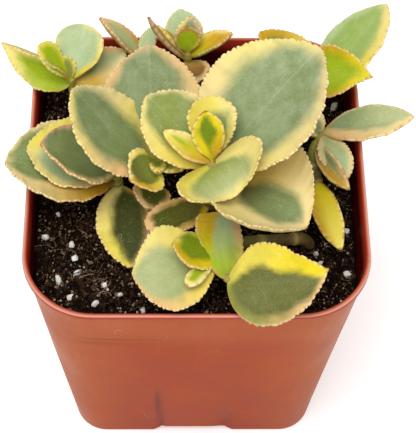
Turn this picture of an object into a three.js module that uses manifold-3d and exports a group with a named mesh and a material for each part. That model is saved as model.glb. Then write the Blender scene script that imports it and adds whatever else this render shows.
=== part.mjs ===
// Potted stonecrop: a square nursery pot, its soil, and nine leafy shoots with toothed leaves.
// Millimetres, +Z up. The origin is the centre of the pot's base, and +Y points to the back.
import * as THREE from "three";
import { mergeVertices } from "three/addons/utils/BufferGeometryUtils.js";
import Module from "manifold-3d";

const wasm = await Module();
wasm.setup();

// Pot
const RIM_WIDTH = 90;
const RIM_CORNER = 18.5;
const BASE_WIDTH = 71;
const BASE_CORNER = 9.5;
const POT_HEIGHT = 90;
const LIP_HEIGHT = 1.6;
const LIP_OVERHANG = 0.4;
const LIP_EDGE = 0.3;
const BASE_EDGE = 0.8;
const WALL = 0.8;
const FLOOR = 5;
const SIDE_BOW = 0.5;
const NOTCH_WIDTH = 19;
const NOTCH_SLOPE = 3;
const NOTCH_DEPTH = 3.6;
const NOTCH_REACH = 16;
const DRAIN_RADIUS = 3.5;
const DRAIN_OFFSET = 25;

// Soil
const FIT_GAP = 0.3;
const SOIL_TOP = 80;
const SOIL_MOUND = 6.5;
const MOUND_SPREAD = 90;
const SOIL_TILT = 1.5;
const LUMP_HEIGHT = 0.7;
const GRAIN_LIFT = 0.35;

// Perlite grains in the soil: x, y and radius.
const GRAINS = [
  [-37, -9, 1.0],
  [-40, -17, 1.0],
  [-33, -18.5, 1.0],
  [-32, -23.5, 1.0],
  [-31, -28.3, 1.2],
  [-36, -30, 1.2],
  [-32.5, -36, 1.1],
  [-26, -39.5, 1.1],
  [-24, -33.5, 0.9],
  [-20, -36, 0.9],
  [-14, -38.5, 0.9],
  [40, -26, 1.5],
  [33, -23, 0.9],
  [32, -20, 0.9],
  [40.5, -13, 1.0],
  [39.5, 28.5, 1.4],
];

// Leaves and stems
const LEAF_MARGIN = 0.6;
const LEAF_MIDDLE = 1.9;
const LEAF_SWELL = 1.15;
const LEAF_BELLY = 0.52;
const LEAF_TAPER = 1.5;
const LEAF_CUP = 15;
const TOOTH = 0.55;
const LEAF_ROOT = 0.9;
const LEAF_POINT = 0.25;
const STEM_SIDES = 7;
const STEM_STEPS = 2;
const HOLE_DEPTH = 0.9;

const COLOURS = {
  pot: 0xbc6446,
  soil: 0x241b16,
  leaf: 0x8fa05c,
  pale: 0xa8b487,
  bright: 0xa9b030,
  olive: 0x7d7a35,
};

// Small helpers

const radians = THREE.MathUtils.degToRad;

/** A closed geometry as a solid that can be joined and cut. */
function solidOf(geometry) {
  const bare = geometry.clone();
  bare.deleteAttribute("normal");
  bare.deleteAttribute("uv");
  const merged = mergeVertices(bare, 1e-4);
  return new wasm.Manifold(
    new wasm.Mesh({
      numProp: 3,
      vertProperties: new Float32Array(merged.attributes.position.array),
      triVerts: new Uint32Array(merged.index.array),
    }),
  );
}

/** The largest body of a solid, without loose scraps or sealed hollows. */
function mainBody(solid) {
  return solid.decompose().reduce((a, b) => (b.volume() > a.volume() ? b : a));
}

/** A named mesh of a solid, in one of the part's colours. */
function meshOf(name, solid, colour, roughness) {
  const data = mainBody(solid).getMesh();
  const geometry = new THREE.BufferGeometry();
  geometry.setAttribute("position", new THREE.BufferAttribute(data.vertProperties, 3));
  geometry.setIndex(new THREE.BufferAttribute(data.triVerts, 1));
  geometry.computeVertexNormals();
  const material = new THREE.MeshStandardMaterial({ color: colour, roughness, metalness: 0 });
  const mesh = new THREE.Mesh(geometry, material);
  mesh.name = name;
  return mesh;
}

/** A closed geometry from rings of points that are all as long, closed by a fan at both ends. */
function loft(rings) {
  const count = rings[0].length;
  const points = rings.flat();
  const faces = [];
  for (let ring = 0; ring + 1 < rings.length; ring += 1) {
    for (let i = 0; i < count; i += 1) {
      const a = ring * count + i;
      const b = ring * count + ((i + 1) % count);
      faces.push(a, b, b + count, a, b + count, a + count);
    }
  }
  const last = (rings.length - 1) * count;
  const low = points.push(middleOf(rings[0])) - 1;
  const high = points.push(middleOf(rings[rings.length - 1])) - 1;
  for (let i = 0; i < count; i += 1) {
    const next = (i + 1) % count;
    faces.push(low, next, i, high, last + i, last + next);
  }
  return new THREE.BufferGeometry().setFromPoints(points).setIndex(faces);
}

function middleOf(ring) {
  const sum = ring.reduce((total, point) => total.add(point), new THREE.Vector3());
  return sum.divideScalar(ring.length);
}

/** A square outline with round corners and slightly bowed sides, anticlockwise from above. */
function squareRing(width, corner, z, bow = 0) {
  const arcSteps = 5;
  const sideSteps = 2;
  const half = width / 2;
  const ring = [];
  for (let side = 0; side < 4; side += 1) {
    const turn = (side * Math.PI) / 2;
    const flat = half - corner;
    for (let i = 0; i < sideSteps; i += 1) {
      const along = -flat + (2 * flat * i) / sideSteps;
      const out = half + bow * (1 - (along / flat) ** 2);
      ring.push(new THREE.Vector3(out, along, z));
    }
    for (let i = 0; i <= arcSteps; i += 1) {
      const angle = (i / (arcSteps + 1)) * (Math.PI / 2);
      ring.push(new THREE.Vector3(flat + corner * Math.cos(angle), flat + corner * Math.sin(angle), z));
    }
    const from = ring.length - sideSteps - arcSteps - 1;
    ring.slice(from).forEach((point) => point.applyAxisAngle(new THREE.Vector3(0, 0, 1), turn));
  }
  return ring;
}

// Pot

/** The pot's outline at a height, moved in by a distance. */
function potRing(z, inset = 0) {
  const share = z / POT_HEIGHT;
  const top = RIM_WIDTH - 2 * LIP_OVERHANG;
  const width = THREE.MathUtils.lerp(BASE_WIDTH, top, share) - 2 * inset;
  const corner = THREE.MathUtils.lerp(BASE_CORNER, RIM_CORNER, share) - inset;
  return squareRing(width, corner, z, SIDE_BOW * Math.sin(Math.PI * share));
}

function potOutside() {
  const under = POT_HEIGHT - LIP_HEIGHT;
  return loft([
    potRing(0, BASE_EDGE),
    potRing(BASE_EDGE),
    potRing(POT_HEIGHT / 2),
    potRing(under),
    squareRing(RIM_WIDTH, RIM_CORNER, under + LIP_EDGE),
    squareRing(RIM_WIDTH, RIM_CORNER, POT_HEIGHT - LIP_EDGE),
    squareRing(RIM_WIDTH - 2 * LIP_EDGE, RIM_CORNER - LIP_EDGE, POT_HEIGHT),
  ]);
}

function potInside() {
  const mouth = potRing(POT_HEIGHT, WALL);
  const above = mouth.map((point) => point.clone().setZ(POT_HEIGHT + LIP_HEIGHT));
  return loft([potRing(FLOOR, WALL), potRing(POT_HEIGHT / 2, WALL), mouth, above]);
}

/** The shallow arch under the middle of one side, with sloped ends. */
function footNotch(turn) {
  const flat = NOTCH_WIDTH / 2;
  const wide = flat + 2 * NOTCH_SLOPE;
  const shape = new THREE.Shape();
  shape.moveTo(-wide, -NOTCH_DEPTH);
  shape.lineTo(wide, -NOTCH_DEPTH);
  shape.lineTo(flat, NOTCH_DEPTH);
  shape.lineTo(-flat, NOTCH_DEPTH);
  shape.closePath();
  const notch = new THREE.ExtrudeGeometry(shape, { depth: NOTCH_REACH, bevelEnabled: false });
  notch.rotateX(Math.PI / 2);
  notch.translate(0, NOTCH_REACH - BASE_WIDTH / 2 - 1, 0);
  notch.rotateZ(turn);
  return solidOf(notch);
}

function drainHole(turn) {
  const hole = new THREE.CylinderGeometry(DRAIN_RADIUS, DRAIN_RADIUS, 4 * FLOOR, 16);
  hole.rotateX(Math.PI / 2);
  hole.translate(0, -DRAIN_OFFSET, 0);
  hole.rotateZ(turn);
  return solidOf(hole);
}

function pot() {
  let solid = solidOf(potOutside()).subtract(solidOf(potInside()));
  for (let side = 0; side < 4; side += 1) {
    const turn = (side * Math.PI) / 2;
    solid = solid.subtract(footNotch(turn)).subtract(drainHole(turn));
  }
  return meshOf("pot", solid, COLOURS.pot, 0.42);
}

// Stems

/** The curve of a stem through its points. */
function stemCurve(points) {
  const places = points.map((point) => new THREE.Vector3(...point));
  return new THREE.CatmullRomCurve3(places, false, "centripetal");
}

/** A round stem along its curve. */
function stemGeometry(spec, radius) {
  const circle = new THREE.Shape();
  for (let i = 0; i < STEM_SIDES; i += 1) {
    const angle = (2 * Math.PI * i) / STEM_SIDES;
    const point = [radius * Math.cos(angle), radius * Math.sin(angle)];
    if (i === 0) circle.moveTo(...point);
    else circle.lineTo(...point);
  }
  circle.closePath();
  const steps = STEM_STEPS * (spec.stem.length - 1);
  const extrudePath = stemCurve(spec.stem);
  return new THREE.ExtrudeGeometry(circle, { steps, extrudePath, bevelEnabled: false });
}

/** The plain hole that a stem stands in: a little wider, and a little deeper than the foot. */
function stemHole(spec) {
  const [[x, y, z], ...above] = spec.stem;
  const deeper = { stem: [[x, y, z - HOLE_DEPTH], ...above] };
  return solidOf(stemGeometry(deeper, spec.radius + FIT_GAP));
}

// Leaves

/**
 * Half-width of a leaf as a share of its widest, from the root (0) to the tip (1).
 * Belly is where it is widest, and a higher taper makes its ends sharper.
 */
function outline(s, blade) {
  const belly = blade.belly ?? LEAF_BELLY;
  const taper = blade.taper ?? LEAF_TAPER;
  const p = taper * belly;
  const q = taper * (1 - belly) + 0.06;
  const peak = p / (p + q);
  return (s ** p * (1 - s) ** q) / (peak ** p * (1 - peak) ** q);
}

/**
 * Places along a leaf's midrib: the point, the way ahead, the way to the left and the way up.
 * Heading turns from +X to +Y, rise lifts the tip, roll lifts the left side,
 * droop bends the tip down and sweep bends it to the left.
 */
function midrib(base, blade, steps) {
  const heading = radians(blade.heading);
  const rise = radians(blade.rise);
  const roll = radians(blade.roll ?? 0);
  const droop = radians(blade.droop ?? 0) / steps;
  const sweep = radians(blade.sweep ?? 0) / steps;
  const flat = Math.cos(rise);
  const ahead = new THREE.Vector3(flat * Math.cos(heading), flat * Math.sin(heading), Math.sin(rise));
  const left = new THREE.Vector3(-Math.sin(heading), Math.cos(heading), 0).applyAxisAngle(ahead, roll);
  const up = new THREE.Vector3().crossVectors(ahead, left);
  const point = base.clone();
  const places = [];
  for (let i = 0; i <= steps; i += 1) {
    places.push({ point: point.clone(), ahead: ahead.clone(), left: left.clone(), up: up.clone() });
    const half = ahead.clone().applyAxisAngle(left, droop / 2).applyAxisAngle(up, sweep / 2);
    point.addScaledVector(half, blade.length / steps);
    ahead.applyAxisAngle(left, droop);
    up.applyAxisAngle(left, droop);
    ahead.applyAxisAngle(up, sweep);
    left.applyAxisAngle(up, sweep);
  }
  return places;
}

/** The two faces of a leaf at one place: across is 0 on its midrib, 1 or -1 on its left or right margin. */
function facePoints(place, blade, s, across, extra = 0) {
  const cup = radians(blade.cup ?? LEAF_CUP);
  const inner = outline(s, blade) * (blade.width / 2);
  const half = Math.max(s < 0.5 ? LEAF_ROOT : LEAF_POINT, inner) + extra;
  const angle = cup * across;
  const out = (half * Math.sin(angle)) / cup;
  const lift = (half * (1 - Math.cos(angle))) / cup;
  const middle = place.point.clone().addScaledVector(place.left, out).addScaledVector(place.up, lift);
  const normal = place.up.clone().applyAxisAngle(place.ahead, angle);
  const inside = THREE.MathUtils.clamp(s, 0.04, 0.96);
  const full = Math.min(1, LEAF_SWELL * Math.sqrt(Math.sin(Math.PI * inside)));
  const body = (LEAF_MIDDLE - LEAF_MARGIN) * (1 - across * across) * full;
  const thick = (LEAF_MARGIN + body) / 2;
  return {
    top: middle.clone().addScaledVector(normal, thick),
    bottom: middle.clone().addScaledVector(normal, -thick),
  };
}

function leafRows(blade) {
  if (blade.length > 32) return 8;
  if (blade.length > 19) return 6;
  return blade.length > 9 ? 4 : 3;
}

/** One leaf: four strips across, and two teeth to each row along both margins unless it is smooth. */
function leafSolid(base, blade) {
  const rows = leafRows(blade);
  const fine = blade.smooth ? 2 : 4;
  const places = midrib(base, blade, rows * fine);
  const points = [];
  const faces = [];
  const put = (pair) => {
    points.push(pair.top, pair.bottom);
    return points.length - 2;
  };
  const both = (a, b, c) => faces.push(a, b, c, a + 1, c + 1, b + 1);
  const middle = [];
  for (let row = 0; row <= rows; row += 1) {
    middle.push(put(facePoints(places[row * fine], blade, row / rows, 0)));
  }
  const sides = [1, -1].map((side) => {
    const inner = middle.map((_, row) => put(facePoints(places[row * fine], blade, row / rows, side / 2)));
    const margin = places.map((place, i) => {
      const s = i / (rows * fine);
      const toothed = i % 2 === 1 && s > 0.2 && !blade.smooth;
      return put(facePoints(place, blade, s, side, toothed ? TOOTH : 0));
    });
    const face = (a, b, c) => (side > 0 ? both(a, b, c) : both(a, c, b));
    for (let row = 0; row < rows; row += 1) {
      const [a, b] = [inner[row], inner[row + 1]];
      const edge = margin.slice(row * fine, row * fine + fine + 1);
      face(middle[row], middle[row + 1], b);
      face(middle[row], b, a);
      for (let i = 0; i < fine; i += 1) {
        face(i < fine / 2 ? a : b, edge[i + 1], edge[i]);
      }
      face(a, b, edge[fine / 2]);
    }
    for (let i = 0; i + 1 < margin.length; i += 1) {
      const [a, b] = [margin[i], margin[i + 1]];
      if (side > 0) faces.push(a, b, b + 1, a, b + 1, a + 1);
      else faces.push(a, b + 1, b, a, a + 1, b + 1);
    }
    return { inner, margin };
  });
  const [left, right] = sides;
  const across = (end) => [
    left.margin.at(end),
    left.inner.at(end),
    middle.at(end),
    right.inner.at(end),
    right.margin.at(end),
  ];
  const root = across(0);
  const tip = across(-1);
  for (let i = 0; i < 4; i += 1) {
    faces.push(root[i], root[i] + 1, root[i + 1] + 1, root[i], root[i + 1] + 1, root[i + 1]);
    faces.push(tip[i], tip[i + 1] + 1, tip[i] + 1, tip[i], tip[i + 1], tip[i + 1] + 1);
  }
  return solidOf(new THREE.BufferGeometry().setFromPoints(points).setIndex(faces));
}

// Shoots: each has a stem, from its foot in the soil to its crown, and leaves along it.

/**
 * One leaf of a shoot. Its place along the stem runs from 0 at the foot to 1 at the crown.
 * The form can add roll, cup, droop and sweep, which are angles, belly, which is a share of the length,
 * taper for sharper or blunter ends, and smooth for a margin without teeth.
 */
function leaf(name, at, heading, rise, length, width, form = {}) {
  return { name, at, heading, rise, length, width, ...form };
}

const SHOOTS = [
  {
    name: "main_shoot",
    colour: COLOURS.leaf,
    radius: 2.2,
    stem: [[3, -10, 74], [3.5, -12, 95], [3.5, -12.5, 112]],
    leaves: [
      leaf("heart", 0.99, 105, 60, 14, 9, { roll: -10, cup: 45, belly: 0.62, smooth: true }),
      leaf("spike", 0.98, 160, 30, 15, 7, { roll: -30, cup: 70, smooth: true }),
      leaf("crown_back", 0.96, 90, 42, 17, 13, { cup: 35, droop: 10, belly: 0.7 }),
      leaf("crown_front", 0.96, -60, 6, 11, 32, { roll: 14, cup: 75, droop: 24 }),
      leaf("crown_left", 0.9, 130, 18, 25, 21, { cup: 24, sweep: 9 }),
      leaf("back_right", 0.84, 45, 27, 42, 37, { roll: -10, cup: 30, sweep: -5 }),
      leaf("front_right", 0.72, -30, 6, 28, 38, { roll: -12, cup: 55, droop: 9 }),
      leaf("front_left", 0.42, 214, 0, 18.5, 10.5, { cup: 16, droop: 3, sweep: -25, belly: 0.6, taper: 1.25 }),
    ],
  },
  {
    name: "side_shoot",
    colour: COLOURS.leaf,
    radius: 1.7,
    stem: [[-11, -3, 74], [-11.5, -5.5, 95], [-10, -8, 105]],
    leaves: [
      leaf("back", 0.7, 93, 20, 34, 27, { roll: -5, cup: 15 }),
      leaf("left", 0.76, 158, 30, 30, 26, { roll: 12, cup: 8, droop: -12, sweep: -14 }),
      leaf("low", 0.36, 264, 8, 9, 10.5, { roll: -14, cup: 26, belly: 0.48, taper: 1.2 }),
      leaf("young_left", 0.93, 225, 15, 10, 13, { roll: -28, cup: 32 }),
      leaf("bud_front", 0.97, 270, 30, 6, 5, { cup: 50, smooth: true }),
      leaf("bud_right", 0.95, 330, 20, 8, 6, { cup: 45, smooth: true }),
      leaf("bud_back", 0.98, 60, 45, 6, 5, { cup: 50, smooth: true }),
    ],
  },
  {
    name: "left_shoot",
    colour: COLOURS.leaf,
    radius: 1.8,
    stem: [[-20, -3, 74], [-21, -3, 85], [-21.5, -3, 93]],
    leaves: [
      leaf("top", 0.96, 177, 24, 22, 24, { roll: 20, cup: 25, droop: -12 }),
      leaf("middle", 0.86, 158, 8, 25, 26, { roll: 10, cup: 30, sweep: 12 }),
      leaf("low", 0.74, 175, 12, 30, 33, { roll: 15, cup: 28, sweep: 6 }),
      leaf("front", 0.62, -81, -6, 25, 15, { roll: 5, cup: 33 }),
    ],
  },
  {
    name: "far_left_shoot",
    colour: COLOURS.bright,
    radius: 1.6,
    stem: [[-32, 24, 74], [-33.5, 25.5, 86], [-34, 26, 95.5]],
    leaves: [
      leaf("folded", 0.88, 160, 16, 22, 12.5, { roll: -64, cup: 80, sweep: -10, belly: 0.4, taper: 1.65 }),
      leaf("upright", 0.97, 162, 38, 13, 7, { roll: -8, cup: 20, sweep: -36, belly: 0.74, taper: 1.3 }),
      leaf("round", 0.93, 73, 33, 16, 14, { cup: 27, belly: 0.66, smooth: true }),
      leaf("small", 0.97, 120, 35, 7, 6, { cup: 40 }),
      leaf("grey", 0.82, 32, 12, 18, 11, { roll: 35, cup: 50, droop: 12 }),
    ],
  },
  {
    name: "back_left_shoot",
    colour: COLOURS.olive,
    radius: 1.5,
    stem: [[-14, 32, 74], [-14.5, 34, 86], [-14.7, 34.6, 93]],
    leaves: [
      leaf("pointed", 0.95, 148, 35, 17, 8.8, { roll: 26, cup: 48, belly: 0.46, taper: 1.65 }),
      leaf("pale", 0.95, 74, 25, 10, 5, { cup: 30, smooth: true }),
    ],
  },
  {
    name: "back_shoot",
    colour: COLOURS.olive,
    radius: 1.6,
    stem: [[-2, 31, 74], [-2, 34, 86], [-2.2, 34.8, 96]],
    leaves: [
      leaf("narrow_far", 0.85, 167, 34, 17.5, 2.6, { cup: 50, droop: -28, sweep: -12, smooth: true }),
      leaf("narrow_near", 0.92, 150, 36, 12, 3, { roll: 20, cup: 55, smooth: true }),
      leaf("pale", 0.88, 101, 27, 14, 11, { cup: 25 }),
      leaf("toothed", 0.95, 87, 42, 10.5, 7.5, { cup: 35 }),
      leaf("bright", 0.98, 95, 64, 8, 8, { cup: 40, belly: 0.64, smooth: true }),
      leaf("right", 0.9, 19, 22, 14, 8, { roll: -12, cup: 50 }),
      leaf("shaded", 0.8, -70, 0, 8, 10, { cup: 35 }),
    ],
  },
  {
    name: "back_right_shoot",
    colour: COLOURS.bright,
    radius: 1.6,
    stem: [[31, 24, 74], [32, 26, 86], [32.6, 26.4, 97]],
    leaves: [
      leaf("right", 0.98, 5, 19, 16, 16, { roll: 27, cup: 45, sweep: -34, belly: 0.26, taper: 1.4 }),
      leaf("left", 0.9, 143, 19, 20, 14.5, { cup: 25, belly: 0.44, taper: 1.25 }),
      leaf("tall", 0.75, 35, 22, 31, 17.5, { roll: -12, cup: 20, droop: -6, sweep: 15, smooth: true }),
    ],
  },
  {
    name: "right_shoot",
    colour: COLOURS.pale,
    radius: 1.7,
    stem: [[32, -4, 74], [32.5, -1, 86], [31.5, 5.5, 90], [34.2, 10, 93]],
    leaves: [
      leaf("long", 0.97, 5, 12, 25, 11, { roll: 10, cup: 45, smooth: true }),
      leaf("grey", 0.95, -64, 0, 15, 9, { cup: 22 }),
      leaf("folded", 0.8, -70, 2, 19, 6, { roll: 30, cup: 55, sweep: 10, smooth: true }),
      leaf("yellow", 0.34, -80, 0, 23, 8, { roll: 14, cup: 39, sweep: 7, smooth: true }),
      leaf("hidden", 0.9, 120, 15, 10, 8, { cup: 30 }),
    ],
  },
  {
    name: "front_shoot",
    colour: COLOURS.leaf,
    radius: 1.8,
    stem: [
      [31, -16, 74],
      [28.5, -17.5, 82.5],
      [22, -19.5, 85.5],
      [12, -22, 88],
      [6, -28.3, 93.5],
      [7.8, -37.4, 94.4],
    ],
    leaves: [
      leaf("left", 0.8, 202, -6, 23.5, 25, { cup: 6, droop: -4, sweep: -18, belly: 0.58, taper: 1.95 }),
      leaf("right", 0.98, -21, 9, 27, 21.6, { roll: 36, cup: 27, droop: -5, sweep: 38, belly: 0.41, taper: 1.6 }),
      leaf("upper", 0.98, 98, 3, 20, 11.8, { roll: 7, droop: 6, sweep: 3, belly: 0.72, taper: 0.6 }),
      leaf("young_back", 0.8, 200, 20, 14, 12, { cup: 10, droop: -14, sweep: -30, belly: 0.56 }),
      leaf("young_front", 0.8, 232, 12, 14.6, 4.5, { roll: -8, cup: 40, belly: 0.76, smooth: true }),
    ],
  },
];

function shoot(spec) {
  const curve = stemCurve(spec.stem);
  let solid = solidOf(stemGeometry(spec, spec.radius));
  for (const one of spec.leaves) {
    solid = solid.add(leafSolid(curve.getPoint(one.at), one));
  }
  const mesh = meshOf(spec.name, solid, spec.colour, 0.5);
  mesh.userData.leaves = spec.leaves.map((one) => one.name);
  return mesh;
}

// Soil

/** Height of the soil above the base: uneven, higher to the left, with a mound at the front left. */
function soilHeight(x, y) {
  const mound = SOIL_MOUND * Math.exp(-((x + 25) ** 2 + (y + 38) ** 2) / MOUND_SPREAD);
  const tilt = (-SOIL_TILT * x) / (RIM_WIDTH / 2);
  const coarse = Math.sin(x * 0.45 + 1.3) * Math.cos(y * 0.38);
  const fine = 0.7 * Math.sin(x * 0.9 - y * 0.75);
  return SOIL_TOP + tilt + mound + LUMP_HEIGHT * (coarse + fine);
}

function soilBlock() {
  const inset = WALL + FIT_GAP;
  const edge = potRing(SOIL_TOP, inset);
  const shares = [1, 0.84, 0.64, 0.42, 0.2];
  const top = shares.map((share) =>
    edge.map((point) => {
      const x = point.x * share;
      const y = point.y * share;
      return new THREE.Vector3(x, y, soilHeight(x, y));
    }),
  );
  const sides = [FLOOR + FIT_GAP, POT_HEIGHT / 2].map((z) => potRing(z, inset));
  return solidOf(loft([...sides, ...top]));
}

/** A grain, more than half above the soil and turned by its own number. */
function soilGrain([x, y, radius], number) {
  const grain = new THREE.IcosahedronGeometry(radius, 0);
  grain.rotateX(number);
  grain.translate(x, y, soilHeight(x, y) + GRAIN_LIFT * radius);
  return solidOf(grain);
}

function soil() {
  let solid = soilBlock();
  for (const grain of GRAINS.map(soilGrain)) solid = solid.add(grain);
  for (const spec of SHOOTS) solid = solid.subtract(stemHole(spec));
  return meshOf("soil", solid, COLOURS.soil, 0.95);
}

const plant = new THREE.Group();
plant.add(pot(), soil(), ...SHOOTS.map(shoot));

export default plant;
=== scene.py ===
"""Potted stonecrop: the looks of a nursery pot, its soil and nine leafy shoots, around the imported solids.

Sizes are in millimetres in the classes below, and each mesh is made in metres in the frame of the solids:
+Z up, +Y to the back, and the origin at the centre of the pot's base.
"""

from __future__ import annotations

import logging
import math
from dataclasses import dataclass, field
from enum import Enum

import bpy
import numpy as np
from mathutils import Matrix, Vector

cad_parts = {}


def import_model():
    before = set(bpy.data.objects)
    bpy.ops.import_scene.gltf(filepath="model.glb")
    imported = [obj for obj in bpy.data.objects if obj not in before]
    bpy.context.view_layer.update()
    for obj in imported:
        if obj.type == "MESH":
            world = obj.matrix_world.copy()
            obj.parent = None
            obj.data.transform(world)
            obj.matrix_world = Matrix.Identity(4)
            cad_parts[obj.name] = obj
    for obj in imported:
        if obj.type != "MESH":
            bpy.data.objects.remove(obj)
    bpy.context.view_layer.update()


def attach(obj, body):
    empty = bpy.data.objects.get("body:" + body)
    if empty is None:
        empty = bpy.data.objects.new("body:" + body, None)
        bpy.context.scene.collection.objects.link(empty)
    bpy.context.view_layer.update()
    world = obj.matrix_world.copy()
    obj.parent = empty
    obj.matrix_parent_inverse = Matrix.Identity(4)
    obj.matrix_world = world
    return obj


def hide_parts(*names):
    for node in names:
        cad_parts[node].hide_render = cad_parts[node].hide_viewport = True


logging.basicConfig(level=logging.INFO, format="%(name)s: %(message)s")
LOG = logging.getLogger("stonecrop")

MM = 0.001
BODY = "root"
LEAF_PLANE = "leaf_plane"
PLANE_MM = 100.0
FULL_TURN = 6.283

Colour = tuple[float, float, float, float]
WHITE: Colour = (1.0, 1.0, 1.0, 1.0)
Array = np.ndarray
Faces = list[tuple[int, ...]]
Piece = bpy.types.Object
Material = bpy.types.Material
Tree = bpy.types.NodeTree
Node = bpy.types.Node
Socket = bpy.types.NodeSocket


class Tint(Enum):
    """Colours of the plant, the pot, the soil and the floor, as seen on a screen."""

    # Greens of leaves, from grey to fresh to dark
    GREY_GREEN = "7e8e4c"
    COOL_GREEN = "74844a"
    SAGE = "809159"
    PALE_SAGE = "b9bf82"
    MINT = "b6ca92"
    SAP = "8b983c"
    LEAF_GREEN = "7c9200"
    FERN = "9cb652"
    LIME = "a6bb02"
    MOSS = "6a6b2a"
    # The three darkest greens are partly the leaves' own colour and partly painted shade, for leaves that
    # lie under the crown
    DEEP_GREEN = "585b10"
    DARK_GREEN = "3f4408"
    OLIVE_SHADE = "5a5416"
    OLIVE = "848a34"
    # Margins, teeth and old leaves
    GOLD = "c99c08"
    AMBER = "b8862a"
    AMBER_YELLOW = "cdaa02"
    YELLOW = "ecd956"
    BRIGHT_YELLOW = "e9d30a"
    PALE_YELLOW = "f5e288"
    CREAM = "f2da98"
    PEACH = "e8bd80"
    PINK = "d9a284"
    ORANGE = "dca31e"
    RUST = "b27c36"
    BROWN = "7d5b28"
    TOOTH = "f7ecc0"
    # What the leaf skin lays over these
    # Pale wax bloom, which also serves as painted sheen that lightens each leaf towards its tip
    WAX_AND_SHEEN = "d6dfbc"
    SHADED_GREEN = "8c9a4a"
    PORE = "4a5220"
    IVORY = "fff4cc"
    NOTCH = "dcae7c"
    UNDERSIDE = "9c8a3c"
    LEAF_DUST = "f4f1de"
    LEAF_SCRATCH = "e9ecd6"
    # Stems
    BARK = "55441a"
    BARK_LIGHT = "6e5c28"
    YOUNG_BARK = "98a030"
    YOUNG_BARK_DARK = "7f8a2a"
    CORK = "a0894c"
    SCAR = "a88f4c"
    # The pot
    CLAY_LOW = "993308"
    CLAY = "a43d0f"
    CLAY_HIGH = "b2582e"
    # Painted reflection: the wall turns lighter towards its left and right sides
    CLAY_SIDE_REFLECTION = "bb7045"
    CLAY_PATCH = "ac521f"
    CLAY_STREAK = "8a3212"
    CLAY_BLOTCH = "8a300f"
    # Painted shade on the lip's outer face, under its rounded edge
    LIP_SHADE = "aa3c26"
    # Painted highlight along the top of the rim
    BRIM_HIGHLIGHT = "e0a08c"
    # Painted shade in the wall's folds, hollow and lines below the lip
    CREASE = "5c1d04"
    # Painted shade of the inner wall, near black deep down and red near the rim
    INSIDE_SHADE_DEEP = "4a0c08"
    INSIDE_SHADE_TOP = "cc3c30"
    POT_DIRT = "6a3a26"
    POT_SCUFF = "dda98c"
    # The soil, each kind of litter in its darkest and lightest colour
    PEAT_DARK = "080403"
    PEAT_LIGHT = "1c110b"
    CRUMB_DARK = "040201"
    CRUMB_LIGHT = "4c3626"
    BIT_DARK = "180e08"
    BIT_LIGHT = "cfae8e"
    FIBRE_DARK = "241509"
    FIBRE_LIGHT = "c09c78"
    CHIP_DARK = "a08c78"
    CHIP_LIGHT = "f4efe4"
    GRAIN_DARK = "dcd6ca"
    GRAIN_LIGHT = "fdfbf6"
    # The floor
    PAPER_DARK = "fbfbfb"
    PAPER_LIGHT = "fdfdfd"


def linear(tint: Tint) -> Colour:
    """The scene-linear colour of a tint.

    Args:
        tint: The tint.

    Returns:
        Red, green, blue and an alpha of one.
    """
    channels = [int(tint.value[i : i + 2], 16) / 255 for i in (0, 2, 4)]
    red, green, blue = [c / 12.92 if c <= 0.04045 else ((c + 0.055) / 1.055) ** 2.4 for c in channels]
    return red, green, blue, 1.0


def smooth(value: Array, low: float, high: float) -> Array:
    """A soft step.

    Args:
        value: The values.
        low: Where the step starts, at 0.
        high: Where it ends, at 1. It may be below low.

    Returns:
        The step at each value.
    """
    t = np.clip((value - low) / (high - low), 0.0, 1.0)
    return t * t * (3 - 2 * t)


def ridge(away: Array, width: float) -> Array:
    """A round ridge: 1 in its middle, and about a third one width away."""
    return np.exp(-((away / width) ** 2))


def scatter(number: Array) -> Array:
    """A repeatable random share from 0 to 1 for each number."""
    x = np.sin(number * 127.1 + 11.7) * 43758.5453
    return x - np.floor(x)


# Meshes

# Turns about the upright axis that carry one side of the pot to each of its four sides
QUARTER_TURNS = tuple(
    np.array([[cos, sin, 0], [-sin, cos, 0], [0, 0, 1]], float)
    for cos, sin in ((1, 0), (0, 1), (-1, 0), (0, -1))
)


def bands(levels: int, count: int) -> Faces:
    """Faces between rings of points.

    Args:
        levels: The number of rings.
        count: The points in each ring.

    Returns:
        The four-sided faces, ring by ring.
    """
    faces: Faces = []
    for low in range(0, (levels - 1) * count, count):
        for i in range(count):
            a, b = low + i, low + (i + 1) % count
            faces.append((a, b, b + count, a + count))
    return faces


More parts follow.
